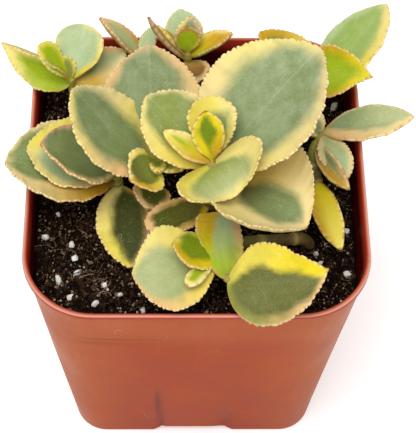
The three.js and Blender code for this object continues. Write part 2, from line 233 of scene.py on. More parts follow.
@dataclass
class Surface:
    """Points, faces and loose edges of one mesh in millimetres, with its values for each point."""

    points: Array
    faces: Faces
    values: dict[str, Array] = field(default_factory=dict)
    colours: dict[str, Array] = field(default_factory=dict)
    plane: Array | None = None
    edges: list[tuple[int, int]] = field(default_factory=list)

    @staticmethod
    def joined(parts: list[Surface]) -> Surface:
        """One surface of several, all with the same values.

        Args:
            parts: The surfaces, in order.

        Returns:
            The surfaces as one, unmerged.
        """
        faces: Faces = []
        start = 0
        for part in parts:
            faces += [tuple(i + start for i in face) for face in part.faces]
            start += len(part.points)
        first = parts[0]
        return Surface(
            points=np.concatenate([p.points for p in parts]),
            faces=faces,
            values={k: np.concatenate([p.values[k] for p in parts]) for k in first.values},
            colours={k: np.concatenate([p.colours[k] for p in parts]) for k in first.colours},
            plane=None if first.plane is None else np.concatenate([p.plane for p in parts]),
        )

    def to_object(self, name: str, material: Material | None = None) -> Piece:
        """A linked mesh object of the surface, in metres, with smooth faces.

        Args:
            name: The object's name.
            material: The material of all its faces.

        Returns:
            The object, at the origin.
        """
        mesh = bpy.data.meshes.new(name)
        mesh.from_pydata((self.points * MM).tolist(), self.edges, self.faces)
        for key, value in self.values.items():
            mesh.attributes.new(key, "FLOAT", "POINT").data.foreach_set("value", value.astype(np.float32))
        for key, value in self.colours.items():
            colour = mesh.attributes.new(key, "FLOAT_COLOR", "POINT")
            colour.data.foreach_set("color", value.astype(np.float32).ravel())
        if self.plane is not None:
            corners = np.empty(len(mesh.loops), np.int32)
            mesh.loops.foreach_get("vertex_index", corners)
            layer = mesh.uv_layers.new(name=LEAF_PLANE)
            layer.data.foreach_set("uv", self.plane[corners].astype(np.float32).ravel())
        mesh.polygons.foreach_set("use_smooth", [True] * len(mesh.polygons))
        mesh.validate()
        mesh.update()
        if material is not None:
            mesh.materials.append(material)
        made = bpy.data.objects.new(name, mesh)
        bpy.context.scene.collection.objects.link(made)
        return made


def baked(source: Piece) -> Piece:
    """Turns an object's modifiers into a plain mesh and removes them.

    Args:
        source: The object with modifiers.

    Returns:
        The same object.
    """
    graph = bpy.context.evaluated_depsgraph_get()
    mesh = bpy.data.meshes.new_from_object(
        source.evaluated_get(graph), preserve_all_data_layers=True, depsgraph=graph
    )
    old = source.data
    source.modifiers.clear()
    source.data = mesh
    mesh.name = source.name
    bpy.data.meshes.remove(old)
    return source


def grown(piece: Piece, tree: Tree, sizes: dict[str, float]) -> Piece:
    """Runs a geometry tree on an object and keeps the result as a plain mesh.

    Args:
        piece: The object to work on.
        tree: The geometry tree.
        sizes: Values for the tree's named inputs.

    Returns:
        The same object.
    """
    layer = piece.modifiers.new(tree.name, "NODES")
    layer.node_group = tree
    for item in tree.interface.items_tree:
        if item.in_out == "INPUT" and item.name in sizes:
            layer[item.identifier] = sizes[item.name]
    return baked(piece)


def place(piece: Piece, slot: str, *nodes: str) -> Piece:
    """Hands a finished piece to the frame.

    Args:
        piece: The finished piece.
        slot: The record's material slot; not used.
        nodes: The solids that the piece stands for.

    Returns:
        The piece.
    """
    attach(piece, BODY)
    if nodes:
        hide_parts(*nodes)
    LOG.info("%s: %d faces", piece.name, len(piece.data.polygons))
    return piece


# Node trees


class Nodes:
    """Adds and links the nodes of one shader or geometry tree."""

    def __init__(self, tree: Tree) -> None:
        """Keeps the tree.

        Args:
            tree: The tree to build in.
        """
        self.tree = tree

    @staticmethod
    def pick(sockets: bpy.types.bpy_prop_collection, key: str | int) -> Socket:
        """Finds a socket.

        Args:
            sockets: A node's inputs or outputs.
            key: The socket's index or name.

        Returns:
            The socket at the index, or the first one in use of that name.
        """
        if isinstance(key, int):
            return sockets[key]
        return next(s for s in sockets if s.name == key and s.enabled)

    def add(self, kind: str, feeds: dict[str | int, object] | None = None, **settings: object) -> Node:
        """Adds a node.

        Args:
            kind: The node's type.
            feeds: Its inputs by name or index, each a value or another node's socket.
            settings: Its own properties.

        Returns:
            The node.
        """
        node = self.tree.nodes.new(kind)
        for key, value in settings.items():
            setattr(node, key, value)
        for key, value in (feeds or {}).items():
            self.feed(self.pick(node.inputs, key), value)
        return node

    def feed(self, socket: Socket, value: object) -> None:
        """Gives an input a value, a tint or a link.

        Args:
            socket: The input.
            value: What it takes.
        """
        if isinstance(value, Socket):
            self.tree.links.new(value, socket)
        else:
            socket.default_value = linear(value) if isinstance(value, Tint) else value

    def math(self, operation: str, a: object, b: object = 0.0, c: object = 0.0) -> Socket:
        """The result of a sum on numbers."""
        return self.add("ShaderNodeMath", {0: a, 1: b, 2: c}, operation=operation).outputs[0]

    def times(self, a: object, b: object) -> Socket:
        """The product of two numbers."""
        return self.math("MULTIPLY", a, b)

    def plus(self, a: object, b: object) -> Socket:
        """The sum of two numbers."""
        return self.math("ADD", a, b)

    def ramp(self, value: object, slope: object, start: object) -> Socket:
        """A value times a slope, plus a start."""
        return self.math("MULTIPLY_ADD", value, slope, start)

    def scaled(self, vector: object, by: tuple[float, float, float]) -> Socket:
        """A vector multiplied axis by axis."""
        return self.add("ShaderNodeVectorMath", {0: vector, 1: by}, operation="MULTIPLY").outputs[0]

    def noise(self, vector: object, scale: object, detail: float, rough: float) -> Socket:
        """A soft noise from about 0.2 to 0.8."""
        feeds = {"Vector": vector, "Scale": scale, "Detail": detail, "Roughness": rough}
        return self.add("ShaderNodeTexNoise", feeds).outputs[0]

    def step(
        self, value: object, low: object, high: object, to_low: float = 0.0, to_high: float = 1.0
    ) -> Socket:
        """A soft step of a value between two limits."""
        feeds = {"Value": value, "From Min": low, "From Max": high, "To Min": to_low, "To Max": to_high}
        return self.add("ShaderNodeMapRange", feeds, interpolation_type="SMOOTHSTEP").outputs[0]

    def blend(self, share: object, a: object, b: object, kind: str = "MIX") -> Socket:
        """Two colours mixed.

        Args:
            share: How much of the second shows.
            a: The first colour.
            b: The second colour.
            kind: The blend type.

        Returns:
            The mixed colour.
        """
        node = self.add("ShaderNodeMix", data_type="RGBA", blend_type=kind, clamp_factor=True)
        for key, value in (("Factor", share), ("A", a), ("B", b)):
            self.feed(self.pick(node.inputs, key), value)
        return self.pick(node.outputs, "Result")

    def layered(self, base: object, *layers: tuple[object, object]) -> Socket:
        """A colour with other colours laid over it.

        Args:
            base: The lowest colour.
            layers: For each layer, from the lowest up, its share and its colour.

        Returns:
            The colour on top.
        """
        for share, colour in layers:
            base = self.blend(share, base, colour)
        return base

    def bump(self, height: object, strength: float, reach_mm: float) -> Socket:
        """A normal from a height, for a relief of so many millimetres."""
        feeds = {"Height": height, "Strength": strength, "Distance": reach_mm * MM}
        return self.add("ShaderNodeBump", feeds).outputs[0]

    def place_mm(self) -> Socket:
        """The object's own coordinates, in millimetres."""
        here = self.add("ShaderNodeTexCoord").outputs["Object"]
        return self.scaled(here, (1 / MM, 1 / MM, 1 / MM))

    def random(self, seed: object, low: object = 0.0, high: object = 1.0) -> Socket:
        """A random number, or vector if the limits are vectors, for each point.

        Args:
            seed: The seed.
            low: The lower limit.
            high: The upper limit.

        Returns:
            The number or the vector.
        """
        kind = "FLOAT_VECTOR" if isinstance(low, tuple) else "FLOAT"
        node = self.add("FunctionNodeRandomValue", data_type=kind)
        for key, value in (("Min", low), ("Max", high), ("Seed", seed)):
            self.feed(self.pick(node.inputs, key), value)
        return self.pick(node.outputs, "Value")

    def jitter(self, geometry: object, scale: float, reach: object) -> Socket:
        """Geometry whose points are moved by a soft noise.

        Args:
            geometry: The geometry.
            scale: The noise's scale, per metre.
            reach: How far points move, in metres.

        Returns:
            The moved geometry.
        """
        here = self.add("GeometryNodeInputPosition").outputs[0]
        noise = self.add("ShaderNodeTexNoise", {"Vector": here, "Scale": scale, "Detail": 2.0})
        wobble = noise.outputs["Color"]
        centred = self.add("ShaderNodeVectorMath", {0: wobble, 1: (0.5, 0.5, 0.5)}, operation="SUBTRACT")
        offset = self.add("ShaderNodeVectorMath", {0: centred.outputs[0], "Scale": reach}, operation="SCALE")
        moved = self.add("GeometryNodeSetPosition", {"Geometry": geometry, "Offset": offset.outputs[0]})
        return moved.outputs[0]

    def finish(self, geometry: object, material: Material) -> None:
        """Ends a geometry tree: instances made real, in one material.

        Args:
            geometry: What the tree has made.
            material: The material.
        """
        real = self.add("GeometryNodeRealizeInstances", {0: geometry})
        made = self.add("GeometryNodeSetMaterial", {"Geometry": real.outputs[0], "Material": material})
        end = next(n for n in self.tree.nodes if n.type == "GROUP_OUTPUT")
        self.feed(end.inputs[0], made.outputs[0])

    def value_of(self, name: str) -> Socket:
        """A number stored on the mesh."""
        return self.add("ShaderNodeAttribute", attribute_name=name).outputs["Fac"]

    def colour_of(self, name: str) -> Socket:
        """A colour stored on the mesh."""
        return self.add("ShaderNodeAttribute", attribute_name=name).outputs["Color"]

    def use(self, group: Tree, feeds: dict[str, object]) -> Node:
        """Places a shared group.

        Args:
            group: The group.
            feeds: Its inputs by name.

        Returns:
            The group's node.
        """
        node = self.add("ShaderNodeGroup", node_tree=group)
        for key, value in feeds.items():
            self.feed(node.inputs[key], value)
        return node


def new_group(
    name: str, kind: str, takes: dict[str, tuple[str, object]], gives: dict[str, str]
) -> tuple[Tree, Nodes, Node, Node]:
    """A node group with named inputs and outputs.

    Args:
        name: The group's name.
        kind: "ShaderNodeTree" or "GeometryNodeTree".
        takes: Input names, each with a socket type and a default.
        gives: Output names, each with a socket type.

    Returns:
        The tree, its node builder, its input node and its output node.
    """
    tree = bpy.data.node_groups.new(name, kind)
    for key, (socket, default) in takes.items():
        item = tree.interface.new_socket(name=key, in_out="INPUT", socket_type=socket)
        if default is not None:
            item.default_value = default
    for key, socket in gives.items():
        tree.interface.new_socket(name=key, in_out="OUTPUT", socket_type=socket)
    build = Nodes(tree)
    return tree, build, tree.nodes.new("NodeGroupInput"), tree.nodes.new("NodeGroupOutput")


FLOAT = "NodeSocketFloat"
WHOLE = "NodeSocketInt"
VECTOR = "NodeSocketVector"
GEOMETRY = "NodeSocketGeometry"
MASK_ONLY = {"Mask": FLOAT}
GEOMETRY_ONLY = {"Geometry": GEOMETRY}


class SharedEffects:
    """Shader groups that several finishes use."""

    def __init__(self) -> None:
        """Builds each group once."""
        self.mottle = self._mottle()
        self.specks = self._specks()
        self.scratches = self._scratches()

    @staticmethod
    def _mottle() -> Tree:
        """Cloudy patches, as a mask, with a finer grain as a height.

        Returns:
            The group.
        """
        takes = {
            "Vector": (VECTOR, None),
            "Scale": (FLOAT, 1.0),
            "Spread": (FLOAT, 0.12),
            "Grain": (FLOAT, 8.0),
        }
        gives = {"Mask": FLOAT, "Height": FLOAT}
        tree, build, start, end = new_group("mottle", "ShaderNodeTree", takes, gives)
        given = start.outputs
        cloud = build.noise(given["Vector"], given["Scale"], 5.0, 0.6)
        low, high = build.math("SUBTRACT", 0.5, given["Spread"]), build.plus(0.5, given["Spread"])
        build.feed(end.inputs["Mask"], build.step(cloud, low, high))
        build.feed(end.inputs["Height"], build.noise(given["Vector"], given["Grain"], 2.0, 0.6))
        return tree

    @staticmethod
    def _specks() -> Tree:
        """Small round dots in some cells of a cell pattern.

        Returns:
            The group.
        """
        takes = {
            "Vector": (VECTOR, None),
            "Scale": (FLOAT, 1.0),
            "Size": (FLOAT, 0.12),
            "Share": (FLOAT, 0.3),
        }
        tree, build, start, end = new_group("specks", "ShaderNodeTree", takes, MASK_ONLY)
        given = start.outputs
        cells = build.add("ShaderNodeTexVoronoi", {"Vector": given["Vector"], "Scale": given["Scale"]})
        apart = build.add("ShaderNodeSeparateColor", {0: cells.outputs["Color"]})
        reach = build.times(given["Size"], build.plus(apart.outputs[1], 0.4))
        dot = build.step(cells.outputs["Distance"], 0.0, reach, 1.0, 0.0)
        chosen = build.math("LESS_THAN", apart.outputs[0], given["Share"])
        build.feed(end.inputs["Mask"], build.times(dot, chosen))
        return tree

    @staticmethod
    def _scratches() -> Tree:
        """Thin curved lines, broken into short stretches.

        Returns:
            The group.
        """
        takes = {
            "Vector": (VECTOR, None),
            "Scale": (FLOAT, 0.2),
            "Width": (FLOAT, 0.01),
            "Gaps": (FLOAT, 0.55),
        }
        tree, build, start, end = new_group("scratches", "ShaderNodeTree", takes, MASK_ONLY)
        given = start.outputs
        swirl = build.noise(given["Vector"], given["Scale"], 1.0, 0.4)
        away = build.math("ABSOLUTE", build.math("SUBTRACT", swirl, 0.5))
        line = build.step(away, 0.0, given["Width"], 1.0, 0.0)
        moved = build.add("ShaderNodeVectorMath", {0: given["Vector"], 1: (31.0, 17.0, 5.0)})
        breaks = build.noise(moved.outputs[0], build.times(given["Scale"], 1.9), 1.0, 0.5)
        shown = build.step(breaks, given["Gaps"], build.plus(given["Gaps"], 0.06))
        build.feed(end.inputs["Mask"], build.times(line, shown))
        return tree


# Finishes


def new_material(name: str) -> tuple[Material, Nodes, Node]:
    """An empty material with its shader.

    Args:
        name: The material's name.

    Returns:
        The material, its node builder and its Principled shader.
    """
    material = bpy.data.materials.new(name)
    material.use_nodes = True
    build = Nodes(material.node_tree)
    shader = next(n for n in material.node_tree.nodes if n.type == "BSDF_PRINCIPLED")
    return material, build, shader


@dataclass(frozen=True)
class LeafSkin:
    """Waxy skin of a variegated leaf, from the colours and distances stored on its mesh."""

    roughness: float = 0.46
    index: float = 1.26
    translucence: float = 0.10
    bleed: tuple[float, float, float] = (1.0, 0.85, 0.35)
    bleed_mm: float = 1.0
    bump_mm: float = 0.10
    ragged_mm: tuple[float, float, float] = (3.4, 1.7, 1.1)

    def variegated(self, build: Nodes, here: object, cloud: object) -> tuple[object, object, object]:
        """The colours of the leaf's centre and margins, with a ragged border between them.

        Args:
            build: The material's nodes.
            here: Object coordinates in millimetres.
            cloud: A mask of cloudy patches.

        Returns:
            The colour, a fine noise and the streaks along the leaf.
        """
        flat = build.add("ShaderNodeUVMap", uv_map=LEAF_PLANE).outputs[0]
        plane = build.scaled(flat, (PLANE_MM, PLANE_MM, 0.0))
        streak = build.noise(build.scaled(plane, (1.0, 0.3, 1.0)), 0.75, 3.0, 0.6)
        broad = build.noise(here, 0.16, 2.0, 0.5)
        fine = build.noise(here, 1.5, 3.0, 0.65)
        grain = build.noise(here, 3.2, 2.0, 0.7)
        wax_and_sheen, soft = build.value_of("wax_and_sheen"), build.value_of("soft")

        edge = build.value_of("zone")
        for wave, reach in zip((broad, streak, fine), self.ragged_mm):
            edge = build.plus(edge, build.ramp(wave, reach, -reach / 2))
        low = build.times(soft, -1.0)
        green = build.step(edge, low, soft)
        band = build.times(build.step(edge, low, 0.3), build.step(edge, soft, 4.0, 1.0, 0.0))

        # The leaf's own wax bloom, with painted sheen that grows towards the tip
        wax_and_sheen_share = build.times(wax_and_sheen, build.ramp(cloud, 0.26, 0.05))
        wax_and_sheen_share = build.plus(wax_and_sheen_share, build.step(fine, 0.52, 0.72, 0.0, 0.07))
        wax_and_sheen_share = build.ramp(build.step(grain, 0.45, 0.75), build.ramp(wax_and_sheen, 0.12, 0.05), wax_and_sheen_share)
        plain = build.colour_of("centre")
        deep = build.blend(0.6, plain, Tint.SHADED_GREEN, "MULTIPLY")
        centre = build.layered(
            plain,
            (build.step(streak, 0.34, 0.66, 0.0, 0.22), deep),
            (build.times(band, 0.18), deep),
            (build.step(grain, 0.28, 0.5, 0.14, 0.0), Tint.PORE),
            (wax_and_sheen_share, Tint.WAX_AND_SHEEN),
        )
        margin = build.blend(build.step(fine, 0.45, 0.7, 0.0, 0.10), build.colour_of("margin"), Tint.IVORY)
        cloudy = build.blend(0.35, margin, centre)
        midrib = build.step(build.value_of("middle"), 0.1, 0.6, 0.12, 0.0)
        skin = build.layered(
            margin,
            (build.step(broad, 0.4, 0.62, 0.0, 0.25), cloudy),
            (green, centre),
            (build.times(midrib, wax_and_sheen), Tint.WAX_AND_SHEEN),
        )
        return skin, fine, streak

    def material(self, effects: SharedEffects) -> Material:
        """The leaf material.

        Args:
            effects: The shared groups.

        Returns:
            The material.
        """
        material, build, shader = new_material("leaf_skin")
        here = build.place_mm()
        feeds = {"Vector": here, "Scale": 0.2, "Spread": 0.2, "Grain": 4.0}
        cloud = build.use(effects.mottle, feeds).outputs
        dots = build.use(effects.specks, {"Vector": here, "Scale": 1.1, "Size": 0.15, "Share": 0.12})
        marks = build.use(effects.scratches, {"Vector": here, "Scale": 0.24, "Width": 0.005, "Gaps": 0.55})
        skin, fine, streak = self.variegated(build, here, cloud["Mask"])

        light_tooth = build.blend(0.4, build.colour_of("margin"), Tint.TOOTH)
        notch = build.blend(0.8, build.colour_of("rim_tint"), Tint.NOTCH, "MULTIPLY")
        tooth = build.blend(build.value_of("tooth"), notch, light_tooth)
        ragged = build.ramp(fine, 0.7, build.value_of("rim"))
        skin = build.layered(
            skin,
            (build.step(ragged, 0.35, 1.05, 0.92, 0.0), tooth),
            # Painted shade: each leaf turns olive over its first few millimetres, by the stem
            (build.step(build.value_of("along"), 0.5, 4.0, 0.45, 0.0), Tint.OLIVE),
        )
        skin = build.layered(
            skin,
            (build.value_of("under"), build.blend(0.45, skin, Tint.UNDERSIDE)),
            (build.times(dots.outputs["Mask"], 0.4), Tint.LEAF_DUST),
            (build.times(marks.outputs["Mask"], 0.3), Tint.LEAF_SCRATCH),
        )
        build.feed(shader.inputs["Base Color"], skin)
        build.feed(shader.inputs["Roughness"], build.ramp(cloud["Mask"], 0.14, self.roughness - 0.06))
        height = build.ramp(marks.outputs["Mask"], 0.35, build.ramp(streak, 0.6, cloud["Height"]))
        build.feed(shader.inputs["Normal"], build.bump(height, 0.4, self.bump_mm))
        shader.inputs["Subsurface Weight"].default_value = self.translucence
        shader.inputs["Subsurface Radius"].default_value = self.bleed
        shader.inputs["Subsurface Scale"].default_value = self.bleed_mm * MM
        shader.inputs["IOR"].default_value = self.index
        return material


@dataclass(frozen=True)
class StemBark:
    """Young bark of a stem: brown low down, green near the crown."""

    roughness: float = 0.62
    bump_mm: float = 0.15

    def material(self, effects: SharedEffects) -> Material:
        """The stem material.

        Args:
            effects: The shared groups.

        Returns:
            The material.
        """
        material, build, shader = new_material("stem_bark")
        here = build.place_mm()
        feeds = {"Vector": here, "Scale": 0.7, "Spread": 0.16, "Grain": 4.0}
        patch = build.use(effects.mottle, feeds).outputs
        dots = build.use(effects.specks, {"Vector": here, "Scale": 1.6, "Size": 0.22, "Share": 0.35})
        young = build.blend(patch["Mask"], Tint.YOUNG_BARK, Tint.YOUNG_BARK_DARK)
        skin = build.layered(
            build.blend(patch["Mask"], Tint.BARK, Tint.BARK_LIGHT),
            (build.value_of("youth"), young),
            (build.value_of("fresh"), Tint.LIME),
            (build.times(dots.outputs["Mask"], 0.5), Tint.CORK),
            (build.value_of("scar"), Tint.SCAR),
        )
        build.feed(shader.inputs["Base Color"], skin)
        shader.inputs["Roughness"].default_value = self.roughness
        build.feed(shader.inputs["Normal"], build.bump(patch["Height"], 0.6, self.bump_mm))
        return material


@dataclass(frozen=True)
class PotPlastic:
    """Thin terracotta-coloured plastic with a soft sheen, dust and light scuffs."""

    roughness: float = 0.32
    index: float = 1.17
    shine: float = 0.25
    bump_mm: float = 0.25

    def material(self, effects: SharedEffects) -> Material:
        """The pot material, whose bands lie at heights in millimetres.

        Args:
            effects: The shared groups.

        Returns:
            The material.
        """
        material, build, shader = new_material("pot_plastic")
        here = build.place_mm()
        feeds = {"Vector": here, "Scale": 0.05, "Spread": 0.2, "Grain": 3.0}
        patch = build.use(effects.mottle, feeds).outputs
        dust = build.use(effects.specks, {"Vector": here, "Scale": 0.35, "Size": 0.07, "Share": 0.14})
        scuff = build.use(effects.scratches, {"Vector": here, "Scale": 0.07, "Width": 0.002, "Gaps": 0.58})
        streak = build.noise(build.scaled(here, (1.0, 1.0, 0.06)), 0.5, 3.0, 0.6)
        blotch = build.noise(here, 0.035, 3.0, 0.65)
        split = build.add("ShaderNodeSeparateXYZ", {0: here}).outputs
        aside, level = build.math("ABSOLUTE", split[0]), split[2]
        base = build.layered(
            build.blend(build.step(level, 12.0, 72.0), Tint.CLAY_LOW, Tint.CLAY),
            (build.step(level, 66.0, 84.0), Tint.CLAY_HIGH),
            # Painted reflection, lighter towards the left and right sides
            (build.step(aside, 14.0, 40.0, 0.0, 0.6), Tint.CLAY_SIDE_REFLECTION),
            (build.times(patch["Mask"], 0.5), Tint.CLAY_PATCH),
            (build.step(streak, 0.35, 0.7, 0.0, 0.10), Tint.CLAY_STREAK),
            (build.step(blotch, 0.42, 0.66, 0.0, 0.22), Tint.CLAY_BLOTCH),
            # Painted shade from the lip up, under the rim's rounded edge
            (build.step(level, 88.2, 88.6, 0.0, 0.9), Tint.LIP_SHADE),
            # Painted highlight along the top of the rim
            (build.times(build.value_of("rim_top_highlight"), 0.95), Tint.BRIM_HIGHLIGHT),
            # Painted shade in the folds, the hollow and the lines below the lip
            (build.times(build.value_of("crease_shade"), 0.95), Tint.CREASE),
            # Painted shade of the inner wall, near black deep down and red near the rim
            (
                build.value_of("inside"),
                build.blend(build.step(level, 84.0, 89.7), Tint.INSIDE_SHADE_DEEP, Tint.INSIDE_SHADE_TOP),
            ),
            (build.times(dust.outputs["Mask"], 0.5), Tint.POT_DIRT),
            (build.times(scuff.outputs["Mask"], 0.3), Tint.POT_SCUFF),
        )
        build.feed(shader.inputs["Base Color"], base)
        build.feed(shader.inputs["Roughness"], build.ramp(patch["Mask"], 0.1, self.roughness))
        height = build.ramp(patch["Height"], 0.4, build.noise(here, 0.12, 2.0, 0.5))
        build.feed(shader.inputs["Normal"], build.bump(height, 0.35, self.bump_mm))
        shader.inputs["IOR"].default_value = self.index
        shader.inputs["Specular IOR Level"].default_value = self.shine
        return material


@dataclass(frozen=True)
class Litter:
    """Rough finish of the soil and of what lies in it, between a dark and a light tint."""

    name: str
    dark: Tint
    light: Tint
    scale: float = 1.2
    roughness: float = 0.9
    shine: float = 0.06
    bump_mm: float = 0.3
    own_tint: bool = False

    def material(self, effects: SharedEffects) -> Material:
        """The litter material.

        Args:
            effects: The shared groups.

        Returns:
            The material.
        """
        material, build, shader = new_material(self.name)
        here = build.place_mm()
        feeds = {"Vector": here, "Scale": self.scale, "Spread": 0.1, "Grain": 4.0}
        patch = build.use(effects.mottle, feeds).outputs
        share = patch["Mask"]
        if self.own_tint:
            share = build.ramp(share, 0.3, build.times(build.value_of("tone"), 0.7))
        build.feed(shader.inputs["Base Color"], build.blend(share, self.dark, self.light))
        shader.inputs["Roughness"].default_value = self.roughness
        shader.inputs["Specular IOR Level"].default_value = self.shine
        build.feed(shader.inputs["Normal"], build.bump(patch["Height"], 0.8, self.bump_mm))
        return material


# The pot


@dataclass
class NurseryPot:
    """Square nursery pot with round corners, a turned-out lip, foot notches and drain holes."""

    rim_width: float = 90.0
    rim_corner: float = 18.5
    base_width: float = 71.0
    base_corner: float = 9.5
    height: float = 90.0
    lip_height: float = 1.6
    lip_overhang: float = 0.4
    lip_edge: float = 0.3
    base_edge: float = 0.8
    wall: float = 0.8
    floor: float = 5.0
    side_bow: float = 0.5
    notch_width: float = 19.0
    notch_slope: float = 3.0
    notch_depth: float = 3.6
    notch_reach: float = 16.0
    drain_radius: float = 3.5
    drain_offset: float = 25.0
    cut_overlap: float = 2.0
    fold_place: float = -9.8
    fold_width: float = 0.7
    fold_depth: float = 0.4
    hollow_place: float = 8.5
    hollow_width: float = 2.4
    hollow_depth: float = 0.25
    line_heights: tuple[float, float] = (70.5, 73.5)
    line_width: float = 0.6
    line_depth: float = 0.12
    ripple_depth: float = 0.08
    sharp_degrees: float = 34.0
    corner_steps: int = 14
    side_steps: int = 44
    wall_rings: int = 60
    inner_rings: int = 20
    drain_steps: int = 32

    def square_ring(self, width: float, corner: float, z: float, bow: float = 0.0) -> Array:
        """A square outline with round corners, anticlockwise from above.

        Args:
            width: Its width across the flats.
            corner: Its corner radius.
            z: Its height.
            bow: How far each side bows out at its middle.

        Returns:
            The points.
        """
        half = width / 2
        flat = half - corner
        along = np.linspace(-flat, flat, self.side_steps, endpoint=False)
        side = np.stack([half + bow * (1 - (along / flat) ** 2), along], 1)
        angle = np.linspace(0, math.pi / 2, self.corner_steps, endpoint=False)
        arc = np.stack([flat + corner * np.cos(angle), flat + corner * np.sin(angle)], 1)
        quarter = np.concatenate([side, arc])
        ring = np.concatenate([quarter @ turn[:2, :2] for turn in QUARTER_TURNS])
        return np.column_stack([ring, np.full(len(ring), z)])

    def wall_ring(self, z: float, inset: float = 0.0) -> Array:
        """The wall's outline at a height.

        Args:
            z: The height.
            inset: How far it lies inside the outer face.

        Returns:
            The points.
        """
        share = z / self.height
        top = self.rim_width - 2 * self.lip_overhang
        width = self.base_width + (top - self.base_width) * share - 2 * inset
        corner = self.base_corner + (self.rim_corner - self.base_corner) * share - inset
        return self.square_ring(width, corner, z, self.side_bow * math.sin(math.pi * min(share, 1.0)))

    def creases(self, ring: Array) -> tuple[Array, Array]:
        """How the thin wall dents in: an upright fold, a hollow over the notch and lines below the lip.

        Args:
            ring: Points on the wall.

        Returns:
            The depth in millimetres at each point, and how much painted shade the fold gets there, from 0 to
            1.
        """
        x, y, z = ring[:, 0], ring[:, 1], ring[:, 2]
        front = (y < 0) * smooth(z, 1.0, 4.0)
        bend = x - self.fold_place + 0.4 * smooth(z, 6.0, 26.0)
        fold = ridge(bend, self.fold_width) * front * smooth(z, 42.0, 28.0)
        slant = x - self.hollow_place - 0.12 * z
        hollow = ridge(slant, self.hollow_width) * front * smooth(z, 22.0, 6.0)
        left_part = smooth(x, -34.0, -28.0) * smooth(x, -2.0, -12.0) * front
        lines = sum(ridge(z - at + 0.03 * x, self.line_width) for at in self.line_heights) * left_part
        ripple = (1 + np.sin(np.arctan2(y, x) * 9 + z * 0.05)) * smooth(z, 84.0, 70.0) * smooth(z, 2.0, 12.0)
        dents = self.fold_depth * fold + self.hollow_depth * hollow + self.line_depth * lines
        return dents + self.ripple_depth * ripple, fold + 0.4 * hollow + 0.3 * lines

    def profile(self) -> list[Array]:
        """The pot's section as rings of points.

        Returns:
            The rings from the middle of the underside, over the lip, to the middle of the floor inside.
        """
        under = self.height - self.lip_height
        rings = [self.square_ring(self.base_width * k, self.base_corner * k, 0.0) for k in (0.25, 0.6)]
        for angle in np.linspace(0, math.pi / 2, 5):
            inset = self.base_edge * (1 - math.sin(angle))
            ring = self.wall_ring(self.base_edge, inset)
            ring[:, 2] = self.base_edge * (1 - math.cos(angle))
            rings.append(ring)
        for z in np.linspace(self.base_edge + 1.5, under - 1.2, self.wall_rings):
            ring = self.wall_ring(z)
            outward = ring * (1.0, 1.0, 0.0) / np.linalg.norm(ring[:, :2], axis=1)[:, None]
            rings.append(ring - outward * self.creases(ring)[0][:, None])
        rings.append(self.wall_ring(under))
        edge = self.lip_edge
        for angle in np.linspace(-math.pi / 2, math.pi / 2, 9):
            out = edge * math.cos(angle) - edge
            z = under + edge if angle < 0 else self.height - edge
            z += edge * math.sin(angle)
            rings.append(self.square_ring(self.rim_width + 2 * out, self.rim_corner + out, z))
        for angle in np.linspace(0, math.pi / 2, 4):
            inset = self.wall - edge * (1 - math.sin(angle))
            ring = self.wall_ring(self.height, inset)
            ring[:, 2] = self.height - edge * (1 - math.cos(angle))
            rings.append(ring)
        for z in np.linspace(self.height - 1.5, self.floor, self.inner_rings):
            rings.append(self.wall_ring(z, self.wall))
        last = self.base_width - 2 * self.wall
        rings += [self.square_ring(last * k, self.base_corner * k, self.floor) for k in (0.6, 0.25)]
        return rings

    def shell(self) -> Surface:
        """The closed wall, lip and floor, without notches and holes.

        Returns:
            The surface, with where it is inside for the inner wall's painted shade, how much painted shade
            its folds get, and where the rim top gets a painted highlight.
        """
        rings = self.profile()
        count = len(rings[0])
        points = np.concatenate([*rings, [[0, 0, 0]], [[0, 0, self.floor]]])
        faces = bands(len(rings), count)
        last, low = (len(rings) - 1) * count, len(rings) * count
        for i in range(count):
            after = (i + 1) % count
            faces.append((low, after, i))
            faces.append((low + 1, last + i, last + after))
        index, z = np.arange(len(points)), points[:, 2]
        first_inner = len(points) - count * (self.inner_rings + 2) - 2
        # Where the rim top gets its painted highlight
        rim_top_highlight = smooth(z, self.height - 0.25, self.height - 0.05)
        values = {
            # Where the inner wall's painted shade goes
            "inside": (index >= first_inner) * (z > self.floor / 2),
            # How much painted shade the folds get
            "crease_shade": np.minimum(self.creases(points)[1], 1.0) * (index < first_inner),
            "rim_top_highlight": rim_top_highlight * (index < first_inner - 4 * count),
        }
        return Surface(points, faces, {key: value.astype(float) for key, value in values.items()})

    def cutters(self) -> Surface:
        """The foot notches and drain holes, as solids to cut away.

        Returns:
            A block and a rod for each side, as one surface.
        """
        flat, depth = self.notch_width / 2, self.notch_depth
        wide = flat + 2 * self.notch_slope
        outer, inner = -self.base_width / 2 - self.cut_overlap, -self.base_width / 2 + self.notch_reach
        section = [(-wide, -depth), (wide, -depth), (flat, depth), (-flat, depth)]
        block = np.array([(x, y, z) for y in (outer, inner) for x, z in section], float)
        block_faces = [(0, 1, 2, 3), (7, 6, 5, 4), (0, 4, 5, 1), (1, 5, 6, 2), (2, 6, 7, 3), (3, 7, 4, 0)]

        count = self.drain_steps
        angle = np.linspace(0, 2 * math.pi, count, endpoint=False)
        circle = np.stack([np.cos(angle), np.sin(angle)], 1) * self.drain_radius
        circle[:, 1] -= self.drain_offset
        levels = (-1.5, self.floor + self.cut_overlap)
        rod = np.concatenate([np.column_stack([circle, np.full(count, z)]) for z in levels])
        caps = [tuple(range(count - 1, -1, -1)), tuple(range(count, 2 * count))]
        rod_faces = [*bands(2, count), *caps]
        parts = []
        for turn in QUARTER_TURNS:
            parts += [Surface(block @ turn, block_faces), Surface(rod @ turn, rod_faces)]
        return Surface.joined(parts)

